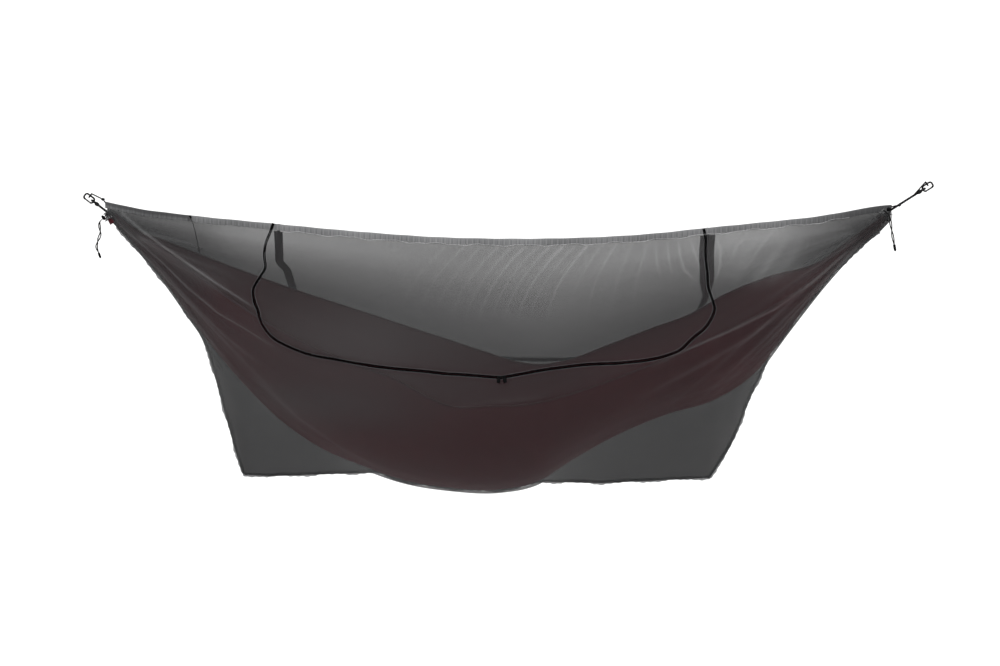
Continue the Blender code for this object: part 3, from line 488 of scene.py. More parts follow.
def bed_fold(x, share):
    """How far the gathers' folds draw the cloth inwards at a share of its way across."""
    off = from_nearest_end(x)
    most = 0.3 * half_width(x)
    side = 0.0 if x < MIDDLE_X else 0.37
    depth = 0.0
    for count, start, deep, reach in BED_FOLDS:
        bend = 0.35 * math.sin(2.1 * count * share + 5.0 * start + 9.0 * side)
        wave = 0.5 - 0.5 * math.cos(2 * math.pi * (count * share + start * (1 + side)) + bend)
        depth += deep * math.exp(-off / reach) * wave
    edge_calm = min(1.0, 14 * share * (1 - share))
    return min(depth * edge_calm, most)


def bed_row(x):
    """Places across the cloth at x, from the near edge to the far one."""
    row = []
    for k in range(BED_ROWS + 1):
        share = k / BED_ROWS
        turn = math.pi * (share - 0.5)
        inward = bed_fold(x, share)
        row.append((x, *bed_at(x, turn, -inward)))
    return row


bed_look = Look("ripstop_nylon", {"Roughness": 0.48, "Sheen Weight": 0.12, "Sheen Roughness": 0.45,
                                  "Sheen Tint": (0.60, 0.25, 0.28), "Specular IOR Level": 0.15})
across_yarn, along_yarn = bed_look.flat_axes()
weave = (across_yarn * (2 * math.pi / YARN_PITCH)).sine() * (along_yarn * (2 * math.pi / YARN_PITCH)).sine()
grid_across = (across_yarn * (math.pi / RIPSTOP_PITCH)).sine() ** 40.0
grid_along = (along_yarn * (math.pi / RIPSTOP_PITCH)).sine() ** 40.0
ripstop = grid_across.maths("MAXIMUM", grid_along)
shade = bed_look.noise(bed_look.places(), 3.0, 4.0, 0.6)
bed_look.feed({
    "Base Color": bed_look.mix((shade * 0.7 + ripstop * 0.2 + weave * 0.1).kept(),
                               (0.105, 0.0150, 0.0210), (0.165, 0.0250, 0.0340)),
    "Roughness": 0.50 + shade * 0.10,
})
bed_look.bump(weave * 0.15 + ripstop * 0.5, 0.00012)

bed_rows = [bed_row(x) for x in np.linspace(*BED_ENDS, BED_COLUMNS + 1)]
bed_runs = [run_along(row) for row in bed_rows]
bed_middle = run_along([row[BED_ROWS // 2] for row in bed_rows])
bed = Shape()
bed.sheet(bed_rows, lambda i, j: (bed_runs[i][j] - bed_runs[i][-1] / 2, bed_middle[i]))
bed_cloth = piece("hammock_bed_cloth", bed, bed_look, "hammock", ["hammock_bed"])
thicken(bed_cloth, BED_CLOTH_THICKNESS)


# The bed's long edges: the cloth is turned over twice into a narrow roll, and sewn down with a row of dark
# red thread that shows on both sides.

EDGE_ROLL = 0.0028
EDGE_STITCH_PITCH = 0.0046
EDGE_STITCH = (0.0032, 0.0008, 0.0006)


def bead_tree():
    """Nodes that set small beads along a line at an even pitch, turned to it and to its "up" directions."""
    tree = bpy.data.node_groups.new("row_of_beads", "GeometryNodeTree")
    sockets = {"Line": "Geometry", "Pitch": "Float", "Bead Size": "Vector", "Finish": "Material"}
    for name, kind in sockets.items():
        tree.interface.new_socket(name, in_out="INPUT", socket_type="NodeSocket" + kind)
    tree.interface.new_socket("Beads", in_out="OUTPUT", socket_type="NodeSocketGeometry")

    def step(kind, links, settings=None, values=None):
        made = tree.nodes.new(kind)
        for name, value in (settings or {}).items():
            setattr(made, name, value)
        for name, value in (values or {}).items():
            made.inputs[name].default_value = value
        for name, source in links.items():
            tree.links.new(source, made.inputs[name])
        return made

    given = step("NodeGroupInput", {}).outputs
    curve = step("GeometryNodeMeshToCurve", {"Mesh": given["Line"]}).outputs["Curve"]
    even = step("GeometryNodeResampleCurve", {"Curve": curve, "Length": given["Pitch"]}, {"mode": "LENGTH"})
    bead = step("GeometryNodeMeshIcoSphere", {}, None, {"Radius": 0.5, "Subdivisions": 1}).outputs["Mesh"]
    way = step("GeometryNodeInputTangent", {}).outputs["Tangent"]
    named = step("GeometryNodeInputNamedAttribute", {}, {"data_type": "FLOAT_VECTOR"}, {"Name": "up"})
    along = step("FunctionNodeAlignRotationToVector", {"Vector": way}, {"axis": "X"}).outputs["Rotation"]
    turned = step("FunctionNodeAlignRotationToVector", {"Vector": named.outputs[0], "Rotation": along},
                  {"axis": "Z", "pivot_axis": "X"}).outputs["Rotation"]
    beads = step("GeometryNodeInstanceOnPoints", {"Points": even.outputs["Curve"], "Instance": bead,
                                                  "Rotation": turned, "Scale": given["Bead Size"]})
    real = step("GeometryNodeRealizeInstances", {"Geometry": beads.outputs["Instances"]})
    smooth = step("GeometryNodeSetShadeSmooth", {"Geometry": real.outputs["Geometry"]})
    finished = step("GeometryNodeSetMaterial", {"Geometry": smooth.outputs[0], "Material": given["Finish"]})
    step("NodeGroupOutput", {"Beads": finished.outputs["Geometry"]})
    return tree


BEADS = bead_tree()


def row_of_beads(name, lines, pitch, size, look, soft_door=None):
    """A piece of beads along one or more lines of (point, up) pairs."""
    mesh = bpy.data.meshes.new(name + "_line")
    points, edges, ups = [], [], []
    for line in lines:
        start = len(points)
        points += [tuple(p) for p, _ in line]
        ups += [tuple(u) for _, u in line]
        edges += [(start + k, start + k + 1) for k in range(len(line) - 1)]
    mesh.from_pydata(points, edges, [])
    attribute = mesh.attributes.new("up", "FLOAT_VECTOR", "POINT")
    attribute.data.foreach_set("vector", np.array(ups, np.float32).ravel())
    helper = bpy.data.objects.new(name + "_line", mesh)
    scene.collection.objects.link(helper)
    maker = helper.modifiers.new("beads", "NODES")
    maker.node_group = BEADS
    given = {"Pitch": float(pitch), "Bead Size": size, "Finish": look.material}
    for item in BEADS.interface.items_tree:
        if item.in_out == "INPUT" and item.name in given:
            maker[item.identifier] = given[item.name]
    bpy.context.view_layer.update()
    made = bpy.data.meshes.new_from_object(helper.evaluated_get(bpy.context.evaluated_depsgraph_get()))
    made.name = name
    bpy.data.objects.remove(helper, do_unlink=True)
    return piece(name, made, None, "hammock", soft_door=soft_door)


edge_look = Look("rolled_edge_cloth", {"Roughness": 0.50, "Sheen Weight": 0.12, "Sheen Roughness": 0.45,
                                       "Sheen Tint": (0.60, 0.25, 0.28)})
puckers = edge_look.noise(edge_look.stretched(edge_look.places(), (1.0, 0.5, 1.0)), 190.0, 3.0)
edge_look.coloured(puckers, (0.075, 0.0110, 0.0155), (0.125, 0.0200, 0.0270))
edge_look.bump(puckers, 0.0006)


def thread(name, sockets, ply, dark, light):
    """Sewing thread: fine flecks, as many as its ply number says."""
    look = Look(name, sockets)
    look.coloured(look.noise(look.places(), ply), dark, light)
    return look


red_thread = thread("red_thread", {"Roughness": 0.55}, 1400.0, (0.100, 0.0160, 0.0220),
                    (0.200, 0.0400, 0.0500))

for word, edge, side in (("near", NEAR_EDGE, -1), ("far", FAR_EDGE, 1)):
    stations = np.linspace(*BED_ENDS, 320)
    middle = [Vector((x, side * half_width(x), height_at(edge, x) + EDGE_ROLL * 0.7)) for x in stations]
    roll = Shape().tube(middle, [EDGE_ROLL * (1 + 0.05 * math.sin(190 * x) + 0.04 * math.sin(77 * x))
                                 for x in stations], 10)
    piece(f"{word}_edge_roll", roll, edge_look, "hammock",
                             [f"{word}_edge_hem"])
    stitch_lines = [[(p + Vector((0, face * EDGE_ROLL * 0.97, -EDGE_ROLL * 0.35)), Vector((0, face, -0.3)))
                     for p in middle] for face in (-1, 1)]
    row_of_beads(f"{word}_edge_stitches", stitch_lines, EDGE_STITCH_PITCH, EDGE_STITCH,
                                    red_thread)


# The net: two panels of fine grey mosquito mesh, joined along the ridge, the bottom and both slanted ends.
# The ridge carries its weight, and it is drawn tight over the hammock. Each panel has a door cut in it.

RIDGE = [(0.060, -0.018), (0.165, -0.041), (0.340, -0.064), (0.600, -0.090), (0.875, -0.116),
         (1.160, -0.136), (1.420, -0.141), (1.580, -0.139), (1.860, -0.124), (2.030, -0.106),
         (2.220, -0.087), (2.410, -0.066), (2.520, -0.047), (2.610, -0.032), (2.655, -0.030)]
HEM_LOW = [(0.075, -0.075), (0.133, -0.143), (0.258, -0.294), (0.357, -0.437), (0.392, -0.517),
           (0.433, -0.674), (0.473, -0.832), (0.502, -0.930), (0.595, -0.934), (0.934, -0.921),
           (1.357, -0.950), (1.700, -0.957), (2.056, -0.940), (2.124, -0.832), (2.188, -0.667),
           (2.252, -0.523), (2.307, -0.444), (2.410, -0.308), (2.504, -0.205), (2.600, -0.123),
           (2.645, -0.075)]
# The zips' routes, as (x, z): round the left side, a straight run for each slider, and round the right side
ZIPS = {
    "front": {
        "left": [(0.6145, -0.0905), (0.606, -0.112), (0.599, -0.137), (0.5925, -0.160), (0.592, -0.184),
                 (0.601, -0.214), (0.597, -0.240), (0.577, -0.265), (0.571, -0.301), (0.590, -0.338),
                 (0.608, -0.388), (0.641, -0.428), (0.692, -0.454), (0.750, -0.474), (0.846, -0.489),
                 (0.956, -0.505), (1.070, -0.520), (1.190, -0.536)],
        "middle": [(1.230, -0.538), (1.362, -0.546), (1.480, -0.526)],
        "right": [(1.510, -0.521), (1.632, -0.506), (1.728, -0.500), (1.794, -0.493), (1.868, -0.479),
                  (1.926, -0.457), (1.958, -0.429), (1.998, -0.402), (2.032, -0.358), (2.040, -0.330),
                  (2.026, -0.300), (2.026, -0.245), (2.025, -0.186), (2.031, -0.141), (2.029, -0.125),
                  (2.0245, -0.1075)],
    },
    "back": {
        "left": [(0.632, -0.0935), (0.630, -0.113), (0.628, -0.133), (0.620, -0.189), (0.617, -0.236),
                 (0.634, -0.262), (0.639, -0.300), (0.648, -0.380), (0.690, -0.460), (0.780, -0.530),
                 (0.900, -0.575), (1.060, -0.597), (1.230, -0.600)],
        "middle": [(1.270, -0.600), (1.362, -0.600), (1.460, -0.600)],
        "right": [(1.500, -0.600), (1.700, -0.597), (1.840, -0.575), (1.950, -0.530), (2.020, -0.470),
                  (2.046, -0.413), (2.060, -0.370), (2.058, -0.300), (2.050, -0.240), (2.042, -0.186),
                  (2.040, -0.141), (2.039, -0.125), (2.037, -0.106)],
    },
}
SIDES = {"front": -1, "back": 1}
NET_ENDS = (0.070, 2.640)
MOUTHS = {"left": (0.096, -0.090), "right": (2.602, -0.080)}
BED_TO_NET = (0.007, 0.012)
SEAM_GAP = 0.0026
PANEL_TOP_DROP = 0.024
UNDER_SLEEVE_DROP = 0.0180
NET_FOLD = 0.012
NET_FOLD_ANGLE = math.radians(13)
NET_FOLD_REACH = 0.60
FOLD_LINE = -0.180
SLOT_HALF = 0.0033
NET_COLUMN_SPACING = 0.0075
NET_ROW_SPACING = 0.0075
OUTLINE_SPACING = 0.0040
ZIP_BENDS = 0.034
BROAD_CREASE = 0.008
CREASE_SPACING = 0.0055
CREASE_CELL = 0.0022
LEAST_GAP = 0.0030
OUTLINE_GAP = 0.0032


def turns_left(a, b, c):
    """Whether the way from a to b to c bends to the left, or not at all."""
    return (b[0] - a[0]) * (c[1] - a[1]) - (b[1] - a[1]) * (c[0] - a[0]) >= 0


@lru_cache(maxsize=None)
def net_section(x, side):
    """The net stretched over the bed at x: distances from the middle, heights and runs from the ridge down.

    It is the shortest skin round the ridge seam, the bed held off by a small clearance, and the hem.
    """
    ridge = height_at(RIDGE, x)
    top = (SEAM_GAP, ridge - PANEL_TOP_DROP)
    off = float(np.interp(from_nearest_end(x), (0.0, 0.1), BED_TO_NET))
    samples = 16
    over = []
    for k in range(samples + 1):
        y, z = bed_at(x, side * math.pi / 2 * (1 - k / samples), off)
        over.append((abs(y), min(z + BED_TO_NET[1], top[1] - 0.005) if k == 0 else z))
    hem = (SEAM_GAP, min(float(np.interp(x, *zip(*HEM_LOW))), over[-1][1] - 0.002))
    chain = []
    for point in [top] + [p for p in over if top[1] - 0.004 > p[1] > hem[1] + 0.001] + [hem]:
        while len(chain) > 1 and turns_left(chain[-2], chain[-1], point):
            chain.pop()
        chain.append(point)
    under = float(np.interp(x, (2.596, 2.606, 2.615, 2.640), (UNDER_SLEEVE_DROP, 0.0120, 0.0092, 0.0085)))
    chain = np.array([(SEAM_GAP, ridge - under)] + chain)
    return chain[:, 0], chain[:, 1], run_along(chain)


def sideways_of(points):
    """Unit directions across a path in the front view: out of the door, or down from the net's edge."""
    ways = np.gradient(points, axis=0)
    ways /= np.linalg.norm(ways, axis=1)[:, None]
    return np.column_stack([ways[:, 1], -ways[:, 0]])


def beside(path, distance):
    """The path moved sideways in the front view: a positive distance is away from the door."""
    points = np.array(path)
    return [tuple(p) for p in points + distance * sideways_of(points)]


def zip_route(face, spacing):
    """The zip's centre line in the front view. Its middle has a straight stretch for each slider."""
    route = ZIPS[face]
    coarse = smooth_run(route["left"], ZIP_BENDS) + route["middle"] + smooth_run(route["right"], ZIP_BENDS)
    return smooth_run(coarse[:coarse.index(route["middle"][0]) + 1], spacing)[:-1] + [
        tuple(np.array(a) + (np.array(b) - np.array(a)) * t)
        for a, b in zip(route["middle"], route["middle"][1:])
        for t in np.linspace(0, 1, max(2, round(math.dist(a, b) / spacing)), endpoint=False)
    ] + smooth_run(coarse[coarse.index(route["middle"][2]):], spacing)


def below(path, height):
    """The part of a U-shaped path that lies under a height, cut off level."""
    kept = []
    for a, b in zip(path, path[1:]):
        if (a[1] > height) != (b[1] > height):
            t = (height - a[1]) / (b[1] - a[1])
            kept.append((a[0] + (b[0] - a[0]) * t, height))
        if b[1] < height:
            kept.append(b)
    return kept


zip_lines = {face: zip_route(face, OUTLINE_SPACING) for face in SIDES}

# Where folds run on the near panel, as (x, z) points: from both gathers over the hammock's edge, and beside
# the zip's right side. After each line come its half width, height and lightness, which paints a highlight
# along the fold.
NEAR_FOLDS = [
    ([(0.090, -0.037), (0.192, -0.103), (0.286, -0.160), (0.358, -0.204), (0.444, -0.258), (0.585, -0.340)],
     0.0026, 0.0030, 0.54),
    ([(0.080, -0.050), (0.125, -0.100), (0.192, -0.146), (0.273, -0.208), (0.356, -0.281), (0.460, -0.359),
      (0.557, -0.408), (0.649, -0.460)], 0.0024, 0.0026, 0.34),
    ([(0.105, -0.065), (0.165, -0.122), (0.285, -0.184), (0.388, -0.240), (0.472, -0.292)],
     0.0150, 0.0020, 0.16),
    ([(0.226, -0.192), (0.312, -0.279), (0.397, -0.361), (0.504, -0.452), (0.603, -0.520)],
     0.0050, 0.0020, 0.14),
    ([(0.560, -0.560), (0.720, -0.700), (0.860, -0.800), (1.000, -0.880)], 0.0050, 0.0016, 0.10),
    ([(2.470, -0.175), (2.363, -0.258), (2.229, -0.344), (2.080, -0.407), (1.932, -0.464), (1.830, -0.512)],
     0.0034, 0.0030, 0.42),
    ([(2.300, -0.330), (2.245, -0.362), (2.111, -0.450), (1.953, -0.530), (1.783, -0.617)],
     0.0060, 0.0022, 0.14),
    ([(1.940, -0.142), (1.943, -0.193), (1.952, -0.233), (1.985, -0.267)], 0.0034, 0.0030, 0.42),
    ([(1.979, -0.138), (1.994, -0.192), (2.003, -0.233)], 0.0030, 0.0026, 0.36),
    ([(2.064, -0.130), (2.075, -0.174), (2.068, -0.221), (2.051, -0.262)], 0.0034, 0.0030, 0.42),
    ([(1.864, -0.150), (1.867, -0.211), (1.874, -0.252)], 0.0050, 0.0026, 0.24),
    ([(1.904, -0.146), (1.906, -0.205), (1.913, -0.246)], 0.0040, 0.0026, 0.26),
    ([(2.215, -0.120), (2.160, -0.180), (2.105, -0.270)], 0.0180, 0.0020, 0.16),
    ([(2.300, -0.130), (2.235, -0.200), (2.165, -0.275)], 0.0130, 0.0020, 0.26),
    ([(2.345, -0.130), (2.290, -0.200), (2.220, -0.262)], 0.0150, 0.0020, 0.20),
    ([(2.180, -0.115), (2.130, -0.160), (2.100, -0.215)], 0.0040, 0.0020, 0.22),
    ([(2.270, -0.100), (2.215, -0.150), (2.150, -0.225)], 0.0040, 0.0020, 0.22),
    ([(1.199, -0.632), (1.357, -0.612), (1.496, -0.595)], 0.0060, 0.0018, 0.06),
]
# Where the upper net's slanting pulls start under the ridge, and how light the painted highlight along each
# is
PULLS = [(1.190, 0.14), (1.250, 0.20), (1.305, 0.16), (1.360, 0.22), (1.405, 0.24), (1.448, 0.40),
         (1.490, 0.24), (1.530, 0.30), (1.573, 0.44), (1.612, 0.24), (1.653, 0.46), (1.700, 0.24),
         (1.745, 0.30), (1.800, 0.22), (1.850, 0.24)]
# Each set of creases that fans out from a gather: their angles below level in degrees, their half width,
# how far they stand out, how light their painted highlight is, and how far they reach
FANS = {
    "left": [((42.0, 46.0, 50.0, 54.0), 0.0045, 0.0030, 0.26, 0.95),
             ((12.0, 19.0, 24.5, 58.0), 0.0040, 0.0022, 0.20, 0.45)],
    "right": [((36.0, 39.0, 43.0, 47.0, 52.0), 0.0048, 0.0034, 0.30, 1.00),
              ((10.0, 16.0, 21.0, 25.0, 29.0), 0.0040, 0.0022, 0.20, 0.50)],
}
# Broad patches where the near panel is slacker, with painted light on its threads: place, reach along x and
# z, how much painted light, how closed
GREY_PATCHES = [((0.95, -0.43), (0.42, 0.14), 0.13, 0.28), ((0.80, -0.64), (0.34, 0.09), 0.09, 0.30),
                ((0.42, -0.24), (0.16, 0.05), 0.04, 0.15), ((2.20, -0.22), (0.13, 0.05), 0.22, 0.0),
                ((2.26, -0.42), (0.20, 0.10), 0.0, 0.22), ((1.25, -0.21), (0.26, 0.06), 0.0, 0.08)]
TABLE_STEP = 0.002
TABLE_XS = np.arange(0.040, 2.680, TABLE_STEP)
TABLE_ZS = np.arange(0.0, -1.0, -TABLE_STEP)


def crease_lines(face):
    """Every crease of a panel: line, half width, height, lightness of its painted highlight, and if it fades
    both ways or down.
    """
    creases = [(*fold, "both") for fold in NEAR_FOLDS] if face == "front" else []
    for start, light in PULLS:
        lean = float(np.interp(start, (1.62, 1.98), (1.0, 0.15)))
        top = height_at(RIDGE, start) - 0.020
        line = [(start - lean * (1.205 * fall - 2.2 * fall ** 2), top - fall)
                for fall in (0.0, 0.03, 0.06, 0.10, 0.14, 0.19, 0.24)]
        creases.append((line, 0.0034, 0.0026, light, "down"))
    for word, mouth in MOUTHS.items():
        way = 1 if word == "left" else -1
        for angles, wide, high, light, reach in FANS[word]:
            for k, angle in enumerate(angles):
                bend = math.radians(angle + 1.2 * math.sin(2.2 * k))
                far = [0.09, 0.20, 0.40, 0.65, reach]
                line = [(mouth[0] + way * s * math.cos(bend + 0.05 * s),
                         mouth[1] - s * math.sin(bend + 0.05 * s)) for s in far if s <= reach]
                creases.append((line, wide, high, light * (0.8 + 0.2 * math.sin(1.7 * k)), "down"))
    return creases


def to_line(spots_x, spots_z, line):
    """How far spots are from a line, and which share of it lies before the nearest place on it."""
    run = run_along(line)
    nearest = np.full(spots_x.shape, 9.0)
    share = np.zeros(spots_x.shape)
    for (xa, za), (xb, zb), before in zip(line, line[1:], run):
        length = math.dist((xa, za), (xb, zb))
        t = ((spots_x - xa) * (xb - xa) + (spots_z - za) * (zb - za)) / length ** 2
        t = np.clip(t, 0.0, 1.0)
        far = np.hypot(spots_x - xa - t * (xb - xa), spots_z - za - t * (zb - za))
        closer = far < nearest
        nearest[closer] = far[closer]
        share[closer] = (before + t[closer] * length) / run[-1]
    return nearest, share


def net_table(face):
    """Tables of the net's flat distance, its folds' height and painted lightness (highlights on folds and
    puckers, light on patches), and the share of the way down.
    """
    xs, zs = TABLE_XS[:, None], TABLE_ZS[None, :]
    shape = (len(TABLE_XS), len(TABLE_ZS))
    sections = [net_section(round(float(x), 5), SIDES[face]) for x in TABLE_XS]
    flat = np.array([np.interp(-TABLE_ZS, -heights, out) for out, heights, _ in sections])
    top, crest_z, hem = (np.array([heights[k] for _, heights, _ in sections])[:, None] for k in (0, 2, -1))
    share = (top - zs) / np.maximum(top - crest_z, 0.01)
    window = np.sin(np.pi * np.clip((crest_z - zs) / np.maximum(crest_z - hem, 0.002), 0.0, 1.0))
    height, light = np.zeros(shape), np.zeros(shape)
    for word, mouth in MOUTHS.items():
        aside, down = np.abs(xs - mouth[0]), mouth[1] - zs
        far = np.hypot(aside, down)
        angle = np.arctan2(down, aside)
        reach = far / NET_FOLD_REACH
        height += NET_FOLD * window * reach ** 2 * np.exp(1 - reach ** 2) * (
            0.5 + 0.5 * np.cos(2 * np.pi * angle / NET_FOLD_ANGLE))
    ridge = np.array([height_at(RIDGE, float(x)) for x in TABLE_XS])[:, None]
    drop = ridge - zs
    pucker = (0.5 + 0.5 * np.cos(2 * np.pi * (xs / 0.021 + 0.15 * np.sin(23 * xs)) + 3.0 * drop)) \
        * np.exp(-np.maximum(drop - 0.02, 0) / 0.03)
    height += 0.0012 * pucker
    # The puckers' raised parts are painted lighter: a painted highlight.
    light += 0.10 * pucker
    closed = np.zeros(shape)
    for place, reach, bright, shut in GREY_PATCHES if face == "front" else []:
        patch = np.exp(-((xs - place[0]) / reach[0]) ** 2 - ((zs - place[1]) / reach[1]) ** 2)
        # Each patch paints light on the threads.
        light += bright * patch
        closed += shut * patch
    for line, wide, high, bright, fading in crease_lines(face):
        low, most = np.min(line, 0) - 3 * wide, np.max(line, 0) + 3 * wide
        i0, i1 = np.searchsorted(TABLE_XS, (low[0], most[0]))
        k0, k1 = np.searchsorted(-TABLE_ZS, (-most[1], -low[1]))
        away, along = to_line(*np.broadcast_arrays(xs[i0:i1], zs[:, k0:k1]), line)
        fade = np.minimum(along / 0.08, 1.0) * (1 - along) ** 0.8
        if fading == "both":
            fade = np.sin(np.pi * np.clip(along * 0.96 + 0.02, 0, 1)) ** 0.5
        crease = np.exp(-(away / wide) ** 2) * fade
        height[i0:i1, k0:k1] += high * crease
        # Each crease is painted lighter along its line: a painted highlight.
        light[i0:i1, k0:k1] += bright * crease
    near_zip, _ = to_line(*np.broadcast_arrays(xs, zs), zip_lines[face][::6] + [zip_lines[face][-1]])
    calm = 1 - np.exp(-(near_zip / 0.010) ** 2)
    return {"flat": flat, "height": height * calm, "light": np.clip(light * calm, 0, 1), "share": share,
            "closed": closed}


def in_table(table, x, z):
    """A table's value at a place in the front view, or at many."""
    i = np.clip((np.asarray(x) - TABLE_XS[0]) / TABLE_STEP, 0, len(TABLE_XS) - 1.001)
    k = np.clip((TABLE_ZS[0] - np.asarray(z)) / TABLE_STEP, 0, len(TABLE_ZS) - 1.001)
    i0, k0 = np.int32(i), np.int32(k)
    u, v = i - i0, k - k0
    return ((1 - u) * ((1 - v) * table[i0, k0] + v * table[i0, k0 + 1])
            + u * ((1 - v) * table[i0 + 1, k0] + v * table[i0 + 1, k0 + 1]))


net_tables = {face: net_table(face) for face in SIDES}


def near_net(places, face):
    """Places on the net for (x, z) places in the front view, as an array of points."""
    x, z = np.asarray(places, float).T
    tables = net_tables[face]
    off = in_table(tables["flat"], x, z) + in_table(tables["height"], x, z)
    return np.column_stack([x, SIDES[face] * off, z])


def tree_of(spots):
    """Flat spots, to find the nearest one fast."""
    tree = KDTree(len(spots))
    for k, spot in enumerate(spots):
        tree.insert((*spot, 0.0), k)
    tree.balance()
    return tree


def along_creases(face, unrolled, outlines):
    """Extra places for the mesh, in rows along and beside each narrow crease."""
    placed = []
    taken = set()  # small cells that have a place already
    for line, wide, *_ in crease_lines(face):
        if wide > BROAD_CREASE:
            continue
        middle = smooth_run(line, CREASE_SPACING)
        for off in (-1.7 * wide, -0.7 * wide, 0.0, 0.7 * wide, 1.7 * wide):
            for x, z in beside(middle, off):
                heights = net_section(round(x, 5), SIDES[face])[1]
                cell = (round(x / CREASE_CELL), round(z / CREASE_CELL))
                if cell in taken or not (NET_ENDS[0] + 0.004 < x < NET_ENDS[1] - 0.004
                                         and heights[-1] + 0.004 < z < heights[0] - 0.003):
                    continue
                spot = unrolled(x, z)
                if outlines.find((*spot, 0.0))[2] > LEAST_GAP:
                    taken.add(cell)
                    placed.append(spot)
    return placed


def net_veil(face):
    """Triangles over one side of the net, cut along its zip and the door's fold, for panel and door."""
    side = SIDES[face]
    start, end = NET_ENDS

    def unrolled(x, z):
        _, heights, run = net_section(round(x, 5), side)
        return x, float(np.interp(-z, -heights, run))

    def rolled(x, s):
        _, heights, run = net_section(round(x, 5), side)
        return float(np.interp(s, run, heights))

    line = zip_lines[face]
    longer = [tuple(2 * np.array(line[0]) - np.array(line[1])), *line,
              tuple(2 * np.array(line[-1]) - np.array(line[-2]))]
    outer, inner = beside(longer, SLOT_HALF), beside(longer, -SLOT_HALF)
    lintel = below(inner, FOLD_LINE)
    left_inner = [p for p in inner[:len(inner) // 2] if p[1] > FOLD_LINE]
    right_inner = [p for p in inner[len(inner) // 2:] if p[1] > FOLD_LINE]
    fold_edge = [(x, FOLD_LINE) for x in np.arange(lintel[0][0] + 0.008, lintel[-1][0] - 0.004, 0.0085)]
    door = lintel + fold_edge[::-1]
    hole = outer + right_inner[::-1] + [lintel[-1]] + fold_edge[::-1] + [lintel[0]] + left_inner[::-1]
    columns = np.linspace(start, end, round((end - start) / NET_COLUMN_SPACING) + 1)
    lower_edge = [(x, net_section(round(x, 5), side)[2][-1]) for x in columns]
    rim = [(x, 0.0) for x in columns]
    for x, way in ((columns[-1], 1), (columns[0], -1)):
        last = net_section(round(x, 5), side)[2][-1]
        spots = [(x, s) for s in np.linspace(0, last, 12)[1:-1]]
        rim += spots if way == 1 else lower_edge[::-1] + spots[::-1]
    loops = [rim, [unrolled(*p) for p in hole], [unrolled(*p) for p in door]]
    outlines = tree_of([spot for loop in loops for spot in loop])
    points = along_creases(face, unrolled, outlines)
    creases = tree_of(points)
    for i, x in enumerate(columns[1:-1]):
        last = net_section(round(x, 5), side)[2][-1]
        count = max(2, round(last / NET_ROW_SPACING))
        for k in range(1, count):
            s = last * (k + (0.25 if i % 2 else -0.25)) / count
            spot = (x, s, 0.0)
            if outlines.find(spot)[2] > OUTLINE_GAP and creases.find(spot)[2] > LEAST_GAP:
                points.append((x, s))
    edges = []
    for loop in loops:
        first = len(points)
        points += loop
        edges += [(first + k, first + (k + 1) % len(loop)) for k in range(len(loop))]
    spots, _, faces, _, _, _ = delaunay_2d_cdt([Vector(p) for p in points], edges, [], 0, 1e-6)
    spots = np.array([tuple(v) for v in spots])
    faces = np.array([tuple(f) for f in faces])
    middles = spots[faces].mean(1)
    within = [inside(middles, np.array(loop)) for loop in loops]
    kept = {"panel": faces[within[0] & ~within[1]], "door": faces[within[2]]}
    placed = [(x, rolled(x, s), s) for x, s in spots]
    return {part: (placed, chosen) for part, chosen in kept.items()}


def inside(spots, loop):
    """Which of the spots lie inside a closed loop."""
    x, y = spots[:, 0], spots[:, 1]
    found = np.zeros(len(spots), bool)
    for (x0, y0), (x1, y1) in zip(loop, np.roll(loop, -1, axis=0)):
        crosses = (y0 > y) != (y1 > y)
        found ^= crosses & (x < (x1 - x0) * (y - y0) / (y1 - y0 + 1e-15) + x0)
    return found


# How much light the mesh lets through, from the ridge (0) to the hammock's edge (1) and on to the hem (2)
OPEN = {
    "front": [(0.0, 0.41), (0.18, 0.41), (0.31, 0.38), (0.44, 0.36), (0.75, 0.33), (1.0, 0.31),
              (2.0, 0.30)],
    "back": [(0.0, 0.41), (0.18, 0.40), (0.31, 0.33), (0.44, 0.26), (0.58, 0.21), (0.77, 0.15),
             (0.95, 0.115), (2.0, 0.095)],
}
# How the cloth that is drawn together towards each end shuts the light out, along x
BUNCHED = [(0.14, 0.55), (0.21, 0.60), (0.37, 0.74), (0.46, 0.93), (0.54, 1.0), (1.95, 1.0), (2.12, 1.10),
           (2.27, 1.08), (2.37, 0.86), (2.51, 0.60), (2.606, 0.58), (2.620, 1.10)]
MESH_PITCH = 0.0014
net_look = Look("mosquito_mesh", {"Roughness": 0.85, "Specular IOR Level": 0.12})
across_mesh, along_mesh = net_look.flat_axes()
cells = (across_mesh * (2 * math.pi / MESH_PITCH)).sine() * (along_mesh * (2 * math.pi / MESH_PITCH)).sine()
thinness = net_look.noise(net_look.places(), 14.0, 3.0)
let_through = net_look.marked("open") * (0.92 + cells * 0.03 + thinness * 0.12)
# The threads' own colour is the dark one. The mix towards the light one is painted highlight on creases,
# pulls and puckers, and painted light on the lighter patches.
net_look.feed({
    "Base Color": net_look.mix(net_look.marked("tone_and_highlight"), (0.011, 0.011, 0.0115), (0.115, 0.117, 0.118)),
    "Alpha": (1 - let_through).kept(),
})

